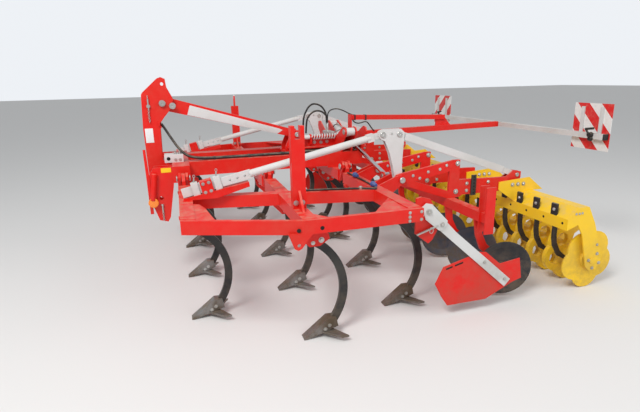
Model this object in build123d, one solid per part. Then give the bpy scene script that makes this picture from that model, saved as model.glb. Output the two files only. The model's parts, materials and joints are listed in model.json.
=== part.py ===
from build123d import *
import math
import os

# A folding stubble cultivator, 4 m wide, carried on a tractor's linkage.
# All sizes are in millimetres. X points forward and is measured here from the middle beam,
# Y points to the machine's left, Z is up from the ground on which it is parked.
# Outlines are lists of (x, z) points for plates seen from the side, and (y, z) for plates seen from behind.

# Frame of beams
BEAM = 100
BEAM_TOP = 930
BEAM_PITCH = 755
CENTRE_HALF = 500
WING_INNER = 640
WING_OUTER = 1985
FRONT_BEAM_OUTER = WING_OUTER - 240
BEAM_ROWS = {"front": BEAM_PITCH, "middle": 0, "rear": -BEAM_PITCH}
BEAM_BOTTOM = BEAM_TOP - BEAM

# Main tubes and hitch box
MAIN = 130
MAIN_Y = 270
SADDLE = 20
MAIN_BOTTOM = BEAM_TOP + SADDLE
MAIN_TOP = MAIN_BOTTOM + MAIN
MAIN_REAR = -1030
HITCH_BOX_LENGTH = 150
HITCH_BOX_HALF = 500
HITCH_BOX_FRONT = 840
HITCH_BOX_TOP = 1075
HITCH_BOX_REAR = HITCH_BOX_FRONT - HITCH_BOX_LENGTH

# Wing hinge: an axis along X for each wing
HINGE_Y = 570
HINGE_Z = 980
HINGE_PIN = 20
HINGE_FIT = 0.05
LUG = 30
LUG_CHEEK = 20
LUG_GAP = 5
LUG_ROUND = 48

# Wing side tube and band
SIDE_TUBE = 95
SIDE_TUBE_FRONT_Y = WING_OUTER - 930
SIDE_TUBE_REAR_Y = WING_OUTER - 625
BAND_THICK = 35
BAND_HEIGHT = 95
BAND_FRONT_Y = WING_OUTER - 285
LOBE_PLATE = 16
LOBE_HOLE_X, LOBE_HOLE_Z = 84, 764

# Lock posts that meet when both wings are up
POST_Y = WING_OUTER - 285
POST_LENGTH = 95
POST_WIDTH = 60
GUSSET = 14
FORK_TOP = 1500
FORK_SLOT = 40
FORK_DEPTH = 90
TIP_TOP = 1610
TIP_PLATE = 20
TIP_NECK = 1470

# Tines: (beam row, y) on the centre frame, and for the left wing, which the right wing mirrors
CENTRE_TINES = [("front", 429), ("front", -429), ("middle", 143), ("rear", -143)]
WING_TINES = [
    ("front", WING_OUTER - 699),
    ("middle", 1000),
    ("middle", WING_OUTER - 128),
    ("rear", 714),
    ("rear", WING_OUTER - 414),
]
SHANK_THICK = 30
SHANK_DEPTH = 58
SHANK_RADIUS = 420
SHANK_CENTRE_X = 150
SHANK_CENTRE_Z = 360
SHANK_START = 118
SHANK_END = 222
CHEEK = 12
HOLDER_DROP = 135
SHARE_WIDTH = 80
SHARE_THICK = 14
SHARE_WING = 150
SHARE_TIP_X = 40
SHARE_UNDER = 34

# Fold cylinders: base pin on the rear tower and rod eye on the wing
FOLD_BASE_Y = 420
FOLD_BASE_Z = 1290
FOLD_EYE_Y = 1060
FOLD_EYE_Z = 960
FOLD_PLANE = {"left": -966, "right": -860}
FOLD_SPACING = 106
BARREL_RADIUS = 40
BARREL_WALL = 9
BARREL_LENGTH = 740
ROD_RADIUS = 20
ROD_FIT = 0.05
ROD_INSIDE = 60
EYE_RADIUS = 32
EYE_WIDTH = 44
EYE_GAP = 4
EYE_EAR = 14
EYE_SHELF_TOP = 890
EYE_SHELF = 18
TOWER_PLATE = 12
TOWER_FRONT = -280
TOWER_WAIST = 1200
TOWER_SIDE_Y = 100
STRUT_PIN = 18

# Pivot of the roller frame behind the rear beam
PIVOT_X = -1020
PIVOT_Z = 955
PIVOT_PIN = 20
ARM_INNER_Y = 700
ARM_OUTER_Y = 1210
ARM_THICK = 30
SLEEVE_RADIUS = 36
BRACKET = 18

# Depth linkage
LINK_Y = 1170
P1_X, P1_Z = -866, 1339
P2_X, P2_Z = -1018, 1336
CLAMP_X, CLAMP_Z = 590, 1020
LINK_TUBE_RADIUS = 29
LINK_BAR = 66
LINK_BAR_WIDTH = 36
CRANK_PLATE = 12
CRANK_GAP = 26
KNUCKLE = 20
LINK_PIN = 15
CLAMP_CLEARANCE = 8
REAR_BAR_X, REAR_BAR_Z = -2238, 897

# Disc row
DISC_BEAM = 80
DISC_BEAM_X = -1520
DISC_BEAM_TOP = 745
DISC_BEAM_INNER = 150
DISC_BEAM_OUTER = WING_OUTER - 285
DISC_Y = [240, 720, 1200, WING_OUTER - 345]
DISC_X = -1750
DISC_Z = 255
DISC_BANDS = [(90, 0), (170, 18), (230, 45)]
DISC_SIDES = 36
DISC_PLATE = 5
DISC_TURN = 16
HUB_RADIUS = 42
HUB_LENGTH = 46
STUB_RADIUS = 17
STUB_LENGTH = 52
BOSS_RADIUS = 34
BOSS_LENGTH = 60
DISC_ARM = 22
HOLDER_PLATE = 12
HOLDER_REACH = 80
RUN_GAP = 5

# Roller
ROLLER_X = -2500
ROLLER_RADIUS = 262
ROLLER_INNER = 140
RING_COUNT = 9
LAST_RING = WING_OUTER - 149
RING_PITCH = (LAST_RING - ROLLER_INNER) / (RING_COUNT - 1)
RING_THICK = 40
END_RING_THICK = 12
LOBES = 5
LOBE_RADIUS = 140
LOBE_STEPS = 8
RING_HOLE = 64
RING_HOLE_REACH = 152
ROLLER_TUBE = 80
ROLLER_STUB = 25
END_PLATE = 12
SCRAPER_THICK = 14

# Side board
BOARD_ARM_Y = WING_OUTER - 70

# Light carrier
BOARD = 423
BOARD_THICK = 4
BOARD_Y = 1300
BOARD_Z = 1320
BOARD_X = -2934
LIGHT_TUBE = 50
LIGHT_TUBE_Z = 1240
LIGHT_TUBE_HALF = 1490
RAIL = 60
RAIL_TOP = 1425
UPPER_RAIL_REAR = -2160

# Top strut and tower
TOWER_PLATE_Y = 60
TOWER_THICK = 20
TOP_HOLE_X, TOP_HOLE_Z = 866, 1782
TOP_HOLE_RADIUS = 16
LOWER_HOLE_X, LOWER_HOLE_Z = 956, 800
LOWER_HOLE_RADIUS = 18.5
LOWER_Y = 440
LOWER_GAP = 80
LOWER_PLATE = 20
STRUT_FRONT_X, STRUT_FRONT_Z = 832, 1594
STRUT_REAR_X, STRUT_REAR_Z = -400, 1255
STRUT_WIDTH = 70
TOWER_PINS = [(877, 1607), (788, 1581)]
TOWER_PIN_RADIUS = 22
TOWER_REAR_EDGE = 925

# The front of the hitch and the back of the boards set where the middle of the machine is
FRONT_REACH = 1070
REAR_REACH = BOARD_X - BOARD_THICK
ORIGIN_X = (FRONT_REACH + REAR_REACH) / 2


def block(x0, x1, y0, y1, z0, z1):
    return Pos((x0 + x1) / 2, (y0 + y1) / 2, (z0 + z1) / 2) * Box(abs(x1 - x0), abs(y1 - y0), abs(z1 - z0))


def side_plate(outline, y0, y1, corner=0):
    """A plate seen from the side, from an outline of (x, z) points, between two Y values."""
    face = Polygon(*outline, align=None)
    if corner:
        face = fillet(face.vertices(), corner)
    return extrude(Plane.XZ.offset(-min(y0, y1)) * face, amount=abs(y1 - y0), dir=(0, 1, 0))


def cross_plate(outline, x0, x1):
    """A plate seen from behind, from an outline of (y, z) points, between two X values."""
    face = Plane.YZ.offset(min(x0, x1)) * Polygon(*outline, align=None)
    return extrude(face, amount=abs(x1 - x0), dir=(1, 0, 0))


def flat_plate(outline, z0, z1):
    """A plate seen from above, from an outline of (x, y) points, between two Z values."""
    face = Plane.XY.offset(z0) * Polygon(*outline, align=None)
    return extrude(face, amount=z1 - z0, dir=(0, 0, 1))


def round_bar(start, end, radius):
    line = Vector(*end) - Vector(*start)
    base = Align.CENTER, Align.CENTER, Align.MIN
    return Plane(origin=start, z_dir=line) * Cylinder(radius, line.length, align=base)


def cross_pin(x, z, y0, y1, radius):
    return round_bar((x, y0, z), (x, y1, z), radius)


def long_pin(y, z, x0, x1, radius):
    return round_bar((x0, y, z), (x1, y, z), radius)


def square_bar(start, end, width, height):
    """A bar of box section from one point to another, its width across and its height upwards."""
    line = Vector(*end) - Vector(*start)
    across = Vector(0, 0, 1).cross(line)
    base = Align.CENTER, Align.CENTER, Align.MIN
    plane = Plane(origin=start, x_dir=across, z_dir=line)
    return plane * Box(width, height, line.length, align=base)


def fuse(pieces):
    whole = pieces[0]
    for piece in pieces[1:]:
        whole = whole + piece
    return whole


def save(name, shape):
    solids = [Pos(-ORIGIN_X, 0, 0) * solid for solid in shape]
    moved = Compound(children=solids) if len(solids) > 1 else solids[0]
    export_step(moved, f"parts/{name}.step")


def solids_of(shape):
    return list(shape.solids())


def mirrored(shape):
    return mirror(shape, about=Plane.XZ)


def save_pair(name, left_shapes, right_shapes=None):
    """Save a left piece, and its mirror image or another right piece, each a list of solids."""
    right_shapes = left_shapes if right_shapes is None else right_shapes
    save(f"left_{name}", [s for shape in left_shapes for s in solids_of(shape)])
    save(f"right_{name}", [s for shape in right_shapes for s in solids_of(mirrored(shape))])


# Centre frame

def main_tubes():
    tubes = []
    for side in (1, -1):
        y = side * MAIN_Y
        tube = block(MAIN_REAR, HITCH_BOX_REAR, y - MAIN / 2, y + MAIN / 2, MAIN_BOTTOM, MAIN_TOP)
        saddles = [
            block(x - BEAM, x + BEAM, y - MAIN / 2, y + MAIN / 2, BEAM_TOP, MAIN_BOTTOM)
            for x in (BEAM_ROWS["middle"], BEAM_ROWS["rear"])
        ]
        tubes.append(fuse([tube] + saddles))
    return tubes


def hinge_cheeks(x):
    """The pair of hinge ears on each end of a centre beam, with the hinge pin in them."""
    ears = []
    for side in (1, -1):
        end = side * CENTRE_HALF
        for dx in (-1, 1):
            inner = x + dx * (LUG / 2 + LUG_GAP)
            outline = [
                (end, BEAM_BOTTOM),
                (end + side * 30, BEAM_BOTTOM),
                (side * (HINGE_Y + 20), HINGE_Z - LUG_ROUND + 8),
                (side * (HINGE_Y + LUG_ROUND), HINGE_Z - 10),
                (side * (HINGE_Y + LUG_ROUND), HINGE_Z + 18),
                (side * (HINGE_Y + 20), HINGE_Z + LUG_ROUND),
                (side * (HINGE_Y - 20), HINGE_Z + LUG_ROUND),
                (end, BEAM_TOP + 40),
            ]
            ears.append(cross_plate(outline, inner, inner + dx * LUG_CHEEK))
        reach = LUG / 2 + LUG_GAP + LUG_CHEEK + 12
        ears.append(long_pin(side * HINGE_Y, HINGE_Z, x - reach, x + reach, HINGE_PIN))
    return ears


def centre_beams():
    beams = []
    for x in BEAM_ROWS.values():
        beam = block(x - BEAM / 2, x + BEAM / 2, -CENTRE_HALF, CENTRE_HALF, BEAM_BOTTOM, BEAM_TOP)
        beams.append(fuse([beam] + hinge_cheeks(x)))
    return beams


# Hitch and tower

TOWER_OUTLINE = [
    (FRONT_REACH - 7, BEAM_TOP),
    (FRONT_REACH, 1384),
    (1055, 1690),
    (1045, 1708),
    (905, 1832),
    (870, 1845),
    (835, 1828),
    (828, 1752),
    (776, 1641),
    (800, 1560),
    (872, 1478),
    (915, 1420),
    (TOWER_REAR_EDGE, HITCH_BOX_TOP),
    (TOWER_REAR_EDGE, BEAM_TOP),
]


def hitch_frame():
    box = block(
        HITCH_BOX_REAR, HITCH_BOX_FRONT, -HITCH_BOX_HALF, HITCH_BOX_HALF, BEAM_TOP, HITCH_BOX_TOP
    )
    half = TOWER_PLATE_Y + TOWER_THICK
    tie = block(HITCH_BOX_FRONT, TOWER_REAR_EDGE, -half, half, BEAM_TOP, HITCH_BOX_TOP)
    pieces = [box, tie]
    outline = [
        (840, BEAM_TOP - 15),
        (840, HITCH_BOX_TOP),
        (1000, HITCH_BOX_TOP),
        (1040, 1010),
        (1040, 760),
        (990, 600),
        (920, 580),
        (895, 620),
    ]
    for side in (1, -1):
        for dy in (-1, 1):
            inner = side * LOWER_Y + dy * LOWER_GAP / 2
            pieces.append(side_plate(outline, inner, inner + dy * LOWER_PLATE))
    whole = fuse(pieces)
    for side in (1, -1):
        far = LOWER_GAP
        whole = whole - cross_pin(
            LOWER_HOLE_X, LOWER_HOLE_Z, side * LOWER_Y - far, side * LOWER_Y + far, LOWER_HOLE_RADIUS
        )
    return whole


def tower_plates():
    plates = []
    for side in (1, -1):
        inner = side * TOWER_PLATE_Y
        plate = side_plate(TOWER_OUTLINE, inner, inner + side * TOWER_THICK)
        plate = plate - cross_pin(TOP_HOLE_X, TOP_HOLE_Z, -200, 200, TOP_HOLE_RADIUS)
        for x, z in TOWER_PINS:
            plate = plate - cross_pin(x, z, -200, 200, TOWER_PIN_RADIUS)
        plates.append(plate)
    return plates


def tower_pins():
    reach = TOWER_PLATE_Y + TOWER_THICK + 14
    return [cross_pin(x, z, -reach, reach, TOWER_PIN_RADIUS) for x, z in TOWER_PINS]


def top_strut():
    """The strut from the tower to the rear tower, deeper at its front, with a red nose and tail."""
    half_front, half_rear = 62, 38
    dx, dz = STRUT_REAR_X - STRUT_FRONT_X, STRUT_REAR_Z - STRUT_FRONT_Z
    length = math.hypot(dx, dz)
    nx, nz = -dz / length, dx / length
    outline = [
        (STRUT_FRONT_X + 90, STRUT_FRONT_Z - 20),
        (STRUT_FRONT_X + 90, STRUT_FRONT_Z + 50),
        (STRUT_FRONT_X - nx * half_front, STRUT_FRONT_Z - nz * half_front),
        (STRUT_REAR_X - nx * half_rear, STRUT_REAR_Z - nz * half_rear),
        (STRUT_REAR_X + nx * half_rear, STRUT_REAR_Z + nz * half_rear),
        (STRUT_FRONT_X + nx * half_front, STRUT_FRONT_Z + nz * half_front),
    ]
    tail = cross_pin(STRUT_REAR_X, STRUT_REAR_Z, -STRUT_WIDTH / 2, STRUT_WIDTH / 2, half_rear)
    body = side_plate(outline, -STRUT_WIDTH / 2, STRUT_WIDTH / 2) + tail
    for x, z in TOWER_PINS:
        body = body - cross_pin(x, z, -200, 200, TOWER_PIN_RADIUS)
    return body - cross_pin(STRUT_REAR_X, STRUT_REAR_Z, -200, 200, STRUT_PIN)


def rear_tower():
    """Two side plates with the pin of the strut, and three cross plates between which the cylinders sit."""
    first = FOLD_PLANE["right"] + FOLD_SPACING / 2
    outline = [
        (TOWER_FRONT, MAIN_TOP - 5),
        (TOWER_FRONT, TOWER_WAIST - 60),
        (STRUT_REAR_X + 55, STRUT_REAR_Z + 30),
        (STRUT_REAR_X + 20, STRUT_REAR_Z + 42),
        (STRUT_REAR_X - 35, STRUT_REAR_Z + 40),
        (STRUT_REAR_X - 80, TOWER_WAIST + 15),
        (first, TOWER_WAIST),
        (first, MAIN_TOP - 5),
    ]
    pieces = []
    for side in (1, -1):
        y = side * TOWER_SIDE_Y
        pieces.append(side_plate(outline, y - 10, y + 10))
    half = [
        (0, TOWER_WAIST + 25),
        (170, TOWER_WAIST + 25),
        (330, FOLD_BASE_Z + 20),
        (390, FOLD_BASE_Z + 48),
        (450, FOLD_BASE_Z + 42),
        (468, FOLD_BASE_Z),
        (455, FOLD_BASE_Z - 42),
        (350, TOWER_WAIST - 40),
        (335, MAIN_TOP),
        (205, MAIN_TOP),
        (205, MAIN_TOP - 20),
        (0, MAIN_TOP - 20),
    ]
    web = half + [(-y, z) for y, z in reversed(half)]
    for step in range(3):
        x = first - step * FOLD_SPACING
        pieces.append(cross_plate(web, x - TOWER_PLATE / 2, x + TOWER_PLATE / 2))
    pieces.append(block(x - TOWER_PLATE / 2, x + TOWER_PLATE / 2, -45, 45, TOWER_WAIST, RAIL_TOP))
    inside = MAIN_Y - MAIN / 2
    bed = block(first - 2 * FOLD_SPACING, TOWER_FRONT, -inside, inside, MAIN_TOP - 20, MAIN_TOP)
    pieces.append(bed)
    reach = TOWER_SIDE_Y + 22
    pieces.append(cross_pin(STRUT_REAR_X, STRUT_REAR_Z, -reach, reach, STRUT_PIN))
    for name, side in (("left", -1), ("right", 1)):
        x = FOLD_PLANE[name]
        reach = FOLD_SPACING / 2 + TOWER_PLATE / 2
        pieces.append(long_pin(side * FOLD_BASE_Y, FOLD_BASE_Z, x - reach, x + reach, HINGE_PIN))
    return fuse(pieces)


# Tines

def shank(x, y):
    """A curved shank: an arc that runs back under its beam, down and forward again."""
    centre = (x + SHANK_CENTRE_X, SHANK_CENTRE_Z)
    outer, inner = SHANK_RADIUS + SHANK_DEPTH / 2, SHANK_RADIUS - SHANK_DEPTH / 2
    sweep_angle = SHANK_END - SHANK_START
    long_arc = CenterArc(centre, outer, SHANK_START, sweep_angle)
    short_arc = CenterArc(centre, inner, SHANK_START, sweep_angle)
    ends = [Line(long_arc @ 0, short_arc @ 0), Line(long_arc @ 1, short_arc @ 1)]
    face = make_face([long_arc, short_arc] + ends)
    near = Plane.XZ.offset(SHANK_THICK / 2 - y)
    return extrude(near * face, amount=SHANK_THICK, dir=(0, 1, 0))


def shank_end(x):
    """The middle of the shank's lower end, where the share is bolted on."""
    angle = math.radians(SHANK_END)
    return (
        x + SHANK_CENTRE_X + SHANK_RADIUS * math.cos(angle),
        SHANK_CENTRE_Z + SHANK_RADIUS * math.sin(angle),
    )


def holder(x, y):
    outline = [
        (x - 62, BEAM_BOTTOM),
        (x + 62, BEAM_BOTTOM),
        (x + 50, BEAM_BOTTOM - 60),
        (x - 20, BEAM_BOTTOM - HOLDER_DROP),
        (x - 95, BEAM_BOTTOM - HOLDER_DROP),
        (x - 165, BEAM_BOTTOM - 90),
        (x - 160, BEAM_BOTTOM - 55),
    ]
    cheeks = [
        side_plate(outline, y + s * SHANK_THICK / 2, y + s * (SHANK_THICK / 2 + CHEEK)) for s in (-1, 1)
    ]
    cap = block(x - 62, x + 62, y - SHANK_THICK / 2, y + SHANK_THICK / 2, BEAM_BOTTOM - 12, BEAM_BOTTOM)
    return fuse(cheeks + [cap]) - shank(x, y)


def share(x, y):
    """A chisel point with two swept wings, its underside on the ground at the tip."""
    end_x, end_z = shank_end(x)
    tip_x = x + SHARE_TIP_X
    point = [
        (tip_x, 0),
        (tip_x - 25, 0),
        (end_x - 55, end_z - 8),
        (end_x - 40, end_z + 60),
        (end_x + 20, end_z + 62),
    ]
    blade = side_plate(point, y - SHARE_WIDTH / 2, y + SHARE_WIDTH / 2)
    base = [
        (tip_x - 90, y),
        (tip_x - 250, y + SHARE_WING),
        (tip_x - 300, y + SHARE_WING),
        (tip_x - 210, y),
        (tip_x - 300, y - SHARE_WING),
        (tip_x - 250, y - SHARE_WING),
    ]
    wings = flat_plate(base, SHARE_UNDER, SHARE_UNDER + SHARE_THICK)
    return fuse([blade, wings]) - shank(x, y)


def tine_set(places):
    rows = [(BEAM_ROWS[row], y) for row, y in places]
    holders = [holder(x, y) for x, y in rows]
    shanks = [shank(x, y) for x, y in rows]
    shares = [share(x, y) for x, y in rows]
    return holders, shanks, shares


# Wings, all drawn for the left side

def wing_lug(x):
    outline = [
        (WING_INNER, BEAM_BOTTOM),
        (WING_INNER, BEAM_TOP + 35),
        (HINGE_Y + 25, HINGE_Z + LUG_ROUND - 6),
        (HINGE_Y - 22, HINGE_Z + LUG_ROUND - 6),
        (HINGE_Y - LUG_ROUND + 6, HINGE_Z + 20),
        (HINGE_Y - LUG_ROUND + 6, HINGE_Z - 20),
        (HINGE_Y - 20, HINGE_Z - LUG_ROUND + 6),
        (HINGE_Y + 40, BEAM_BOTTOM + 30),
    ]
    lug = cross_plate(outline, x - LUG / 2, x + LUG / 2)
    return lug - long_pin(HINGE_Y, HINGE_Z, x - LUG, x + LUG, HINGE_PIN + HINGE_FIT)


def fork_post():
    x0, x1 = -POST_LENGTH / 2, POST_LENGTH / 2
    y0, y1 = POST_Y - POST_WIDTH / 2, POST_Y + POST_WIDTH / 2
    post = block(x0, x1, y0, y1, BEAM_TOP, FORK_TOP)
    slot = block(-FORK_SLOT / 2, FORK_SLOT / 2, y0 - 1, y1 + 1, FORK_TOP - FORK_DEPTH, FORK_TOP + 1)
    return post - slot


def tip_post():
    x0, x1 = -POST_LENGTH / 2, POST_LENGTH / 2
    y0, y1 = POST_Y - POST_WIDTH / 2, POST_Y + POST_WIDTH / 2
    post = block(x0, x1, y0, y1, BEAM_TOP, TIP_NECK)
    tip = cross_plate(
        [(y0, TIP_NECK), (y1, TIP_NECK), (POST_Y + 12, TIP_TOP), (POST_Y - 12, TIP_TOP)],
        -TIP_PLATE / 2,
        TIP_PLATE / 2,
    )
    return post + tip


def post_gussets():
    height, reach = 130, 110
    y0, y1 = POST_Y - POST_WIDTH / 2, POST_Y + POST_WIDTH / 2
    return [
        cross_plate([(y1, BEAM_TOP), (y1 + reach, BEAM_TOP), (y1, BEAM_TOP + height)], -8, 8),
        cross_plate([(y0, BEAM_TOP), (y0 - reach, BEAM_TOP), (y0, BEAM_TOP + height)], -8, 8),
    ]


PIVOT_BRACKET = [
    (-BEAM_PITCH - BEAM / 2, BEAM_BOTTOM + 5),
    (-BEAM_PITCH - BEAM / 2, BEAM_TOP - 5),
    (PIVOT_X + 60, PIVOT_Z + 32),
    (PIVOT_X, PIVOT_Z + 42),
    (PIVOT_X - 42, PIVOT_Z),
    (PIVOT_X, PIVOT_Z - 42),
    (PIVOT_X + 110, BEAM_BOTTOM + 5),
]


def pivot_brackets():
    """Bracket plates and a pin at each arm of the roller frame."""
    pieces = []
    for inner, outer in pivot_spans():
        pieces.append(side_plate(PIVOT_BRACKET, inner - BRACKET, inner))
        pieces.append(side_plate(PIVOT_BRACKET, outer, outer + BRACKET))
        pieces.append(cross_pin(PIVOT_X, PIVOT_Z, inner - BRACKET - 8, outer + BRACKET + 8, PIVOT_PIN))
    return pieces


def pivot_spans():
    """The clear space between the bracket plates at the inner arm, and at the outer arm with the crank."""
    half = ARM_THICK / 2 + 10 + RUN_GAP
    crank_inner = LINK_Y - CRANK_GAP / 2 - CRANK_PLATE
    return [(ARM_INNER_Y - half, ARM_INNER_Y + half), (crank_inner - RUN_GAP, ARM_OUTER_Y + half)]


def fold_lug(plane):
    """The shelf and two ears that hold the rod eye of the fold cylinder behind the rear beam."""
    y0, y1 = FOLD_EYE_Y - 45, FOLD_EYE_Y + 45
    reach = EYE_WIDTH / 2 + EYE_GAP + EYE_EAR
    shelf = block(plane - reach, -BEAM_PITCH - BEAM / 2, y0, y1, EYE_SHELF_TOP - EYE_SHELF, EYE_SHELF_TOP)
    ears = []
    outline = [
        (y0, EYE_SHELF_TOP),
        (FOLD_EYE_Y - 34, FOLD_EYE_Z + 20),
        (FOLD_EYE_Y - 20, FOLD_EYE_Z + 38),
        (FOLD_EYE_Y + 20, FOLD_EYE_Z + 38),
        (FOLD_EYE_Y + 34, FOLD_EYE_Z + 20),
        (y1, EYE_SHELF_TOP),
    ]
    for dx in (-1, 1):
        inner = plane + dx * (EYE_WIDTH / 2 + EYE_GAP)
        ears.append(cross_plate(outline, inner, inner + dx * EYE_EAR))
    return fuse([shelf] + ears)


FRONT_GUSSET = [
    (BEAM_PITCH - BEAM / 2, WING_OUTER - 685),
    (662, WING_OUTER - 655),
    (626, WING_OUTER - 525),
    (606, WING_OUTER - 365),
    (584, WING_OUTER - 205),
    (BEAM_PITCH - BEAM / 2, WING_OUTER - 250),
]


def corner_gussets():
    """Flat plates in the outer corners of the rear, middle and front beams, under the band."""
    rear_face, middle_face = -BEAM_PITCH + BEAM / 2, -BEAM / 2
    corners = [(rear_face, 1, 250, 330), (middle_face, -1, 90, 120)]
    outlines = []
    for x, way, run, reach in corners:
        outlines.append([(x, WING_OUTER), (x, WING_OUTER - reach), (x + way * run, WING_OUTER)])
    outlines.append(FRONT_GUSSET)
    return [flat_plate(outline, BEAM_TOP - GUSSET - 6, BEAM_TOP - 6) for outline in outlines]


def wing_beams(post, plane):
    front = block(
        BEAM_PITCH - BEAM / 2, BEAM_PITCH + BEAM / 2, WING_INNER, FRONT_BEAM_OUTER, BEAM_BOTTOM, BEAM_TOP
    )
    middle = block(-BEAM / 2, BEAM / 2, WING_INNER, WING_OUTER, BEAM_BOTTOM, BEAM_TOP)
    rear = block(
        -BEAM_PITCH - BEAM / 2, -BEAM_PITCH + BEAM / 2, WING_INNER, WING_OUTER, BEAM_BOTTOM, BEAM_TOP
    )
    beyond = [
        (BEAM_PITCH + BEAM / 2, BAND_FRONT_Y),
        (BEAM / 2, WING_OUTER),
        (BEAM_PITCH + BEAM, WING_OUTER),
        (BEAM_PITCH + BEAM, BAND_FRONT_Y),
    ]
    front = front - flat_plate(beyond, BEAM_BOTTOM - 10, BEAM_TOP + 10)
    rear_gusset, middle_gusset, front_gusset = corner_gussets()
    return [
        fuse([front, front_gusset, wing_lug(BEAM_PITCH)]),
        fuse([middle, middle_gusset, wing_lug(0), post] + post_gussets()),
        fuse([rear, rear_gusset, wing_lug(-BEAM_PITCH), fold_lug(plane)] + pivot_brackets()),
    ]


def side_tube_y(x):
    """Where the oblique side tube's middle lies at a given x."""
    share_back = (BEAM_PITCH - x) / (2 * BEAM_PITCH)
    return SIDE_TUBE_FRONT_Y + share_back * (SIDE_TUBE_REAR_Y - SIDE_TUBE_FRONT_Y)


def side_tubes():
    whole = square_bar(
        (BEAM_PITCH, side_tube_y(BEAM_PITCH), BEAM_TOP - SIDE_TUBE / 2),
        (-BEAM_PITCH, side_tube_y(-BEAM_PITCH), BEAM_TOP - SIDE_TUBE / 2),
        SIDE_TUBE,
        SIDE_TUBE,
    )
    sections = []
    for x0, x1 in ((BEAM / 2, BEAM_PITCH - BEAM / 2), (-BEAM_PITCH + BEAM / 2, -BEAM / 2)):
        sections.append(whole & block(x0, x1, 800, 1600, 700, 1100))
    return sections


def side_band():
    """The outer band: oblique from the front beam to the middle beam, then straight back."""
    top, bottom = BEAM_TOP - 2, BEAM_TOP - 2 - BAND_HEIGHT
    front_x, back_x = BEAM_PITCH + BEAM / 2, -BEAM_PITCH - BEAM / 2
    outline = [
        (front_x, BAND_FRONT_Y),
        (BEAM / 2, WING_OUTER),
        (back_x, WING_OUTER),
        (back_x, WING_OUTER + BAND_THICK),
        (BEAM / 2, WING_OUTER + BAND_THICK),
        (front_x, BAND_FRONT_Y + BAND_THICK + 6),
    ]
    lobe = [(153, bottom + 14), (115, 745), (91, 731), (66, 742), (-8, bottom + 2), (-8, bottom + 14)]
    band = flat_plate(outline, bottom, top)
    tab = side_plate(lobe, WING_OUTER + BAND_THICK - LOBE_PLATE, WING_OUTER + BAND_THICK)
    hole = cross_pin(LOBE_HOLE_X, LOBE_HOLE_Z, WING_OUTER - 10, WING_OUTER + BAND_THICK + 10, 13)
    return (band + tab) - hole


def link_slope():
    return math.atan2(P1_Z - CLAMP_Z, CLAMP_X - P1_X)


def depth_clamp():
    """A channel on the front beam that carries the clamp through which the perforated bar passes."""
    channel = [
        (BEAM_PITCH + 15, BEAM_TOP),
        (BEAM_PITCH + 15, BEAM_TOP + 14),
        (270, 1036),
        (265, 1000),
        (520, BEAM_TOP),
    ]
    base = side_plate(channel, LINK_Y - 40, LINK_Y + 40)
    bar_half = LINK_BAR / 2 + CLAMP_CLEARANCE
    width_half = LINK_BAR_WIDTH / 2 + CLAMP_CLEARANCE
    frame = Pos(CLAMP_X, LINK_Y, CLAMP_Z) * (
        Rot(0, math.degrees(link_slope()), 0) * Box(90, 2 * width_half + 24, 2 * bar_half + 24)
    )
    way = Pos(CLAMP_X, LINK_Y, CLAMP_Z) * (
        Rot(0, math.degrees(link_slope()), 0) * Box(1200, 2 * width_half, 2 * bar_half)
    )
    return (base + frame) - way


def board_bracket_outline():
    back = -BEAM_PITCH - BEAM / 2
    return [
        (back, 705),
        (back, 970),
        (back - 40, 978),
        (back - 112, 955),
        (back - 205, 770),
        (back - 140, 650),
        (back - 105, 622),
    ]


def board_arm():
    """The flat oblique arm from the rear corner down to the side board."""
    outline = [
        (-845, 905),
        (-895, 925),
        (-925, 905),
        (-1130, 690),
        (-1650, 235),
        (-1600, 180),
        (-1080, 640),
        (-860, 840),
    ]
    return side_plate(outline, BOARD_ARM_Y, BOARD_ARM_Y + 12)


SIDE_BOARD_OUTLINE = [
    (-1045, 170),
    (-985, 285),
    (-1050, 415),
    (-1240, 462),
    (-1365, 495),
    (-1418, 488),
    (-1553, 374),
    (-1735, 398),
    (-1765, 225),
    (-1688, 203),
    (-1440, 90),
    (-1100, 90),
]


def side_board():
    return side_plate(SIDE_BOARD_OUTLINE, BOARD_ARM_Y - 6, BOARD_ARM_Y)


# Fold cylinders, drawn in their own plane

def fold_axis(side):
    """Base and eye as (y, z) points for the left or right cylinder."""
    return (-side * FOLD_BASE_Y, FOLD_BASE_Z), (side * FOLD_EYE_Y, FOLD_EYE_Z)


def along(a, b, distance):
    length = math.dist(a, b)
    return tuple(p + (q - p) * distance / length for p, q in zip(a, b))


def fold_barrel(side, plane):
    base, eye = fold_axis(side)
    start, end = along(base, eye, EYE_RADIUS - 6), along(base, eye, BARREL_LENGTH)
    hollow_start, gland = along(base, eye, 70), along(base, eye, BARREL_LENGTH - 40)

    def at(point):
        return (plane,) + point

    tube = round_bar(at(start), at(end), BARREL_RADIUS)
    tube = tube - round_bar(at(hollow_start), at(gland), BARREL_RADIUS - BARREL_WALL)
    tube = tube - round_bar(at(gland), at(along(base, eye, BARREL_LENGTH + 5)), ROD_RADIUS + ROD_FIT)
    half = (FOLD_SPACING - TOWER_PLATE) / 2 - RUN_GAP
    boss = long_pin(*base, plane - half, plane + half, EYE_RADIUS + 6)
    bore = long_pin(*base, plane - FOLD_SPACING, plane + FOLD_SPACING, HINGE_PIN + HINGE_FIT)
    return (tube + boss) - bore


def fold_rod(side, plane):
    base, eye = fold_axis(side)
    inner = along(base, eye, BARREL_LENGTH - 40 - ROD_INSIDE)
    rod = round_bar((plane,) + inner, (plane,) + eye, ROD_RADIUS)
    piston_end = along(base, eye, BARREL_LENGTH - 40 - ROD_INSIDE + 30)
    piston = round_bar((plane,) + inner, (plane,) + piston_end, BARREL_RADIUS - BARREL_WALL - 1)
    boss = long_pin(*eye, plane - EYE_WIDTH / 2, plane + EYE_WIDTH / 2, EYE_RADIUS)
    return fuse([rod, piston, boss])


# Depth linkage

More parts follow.
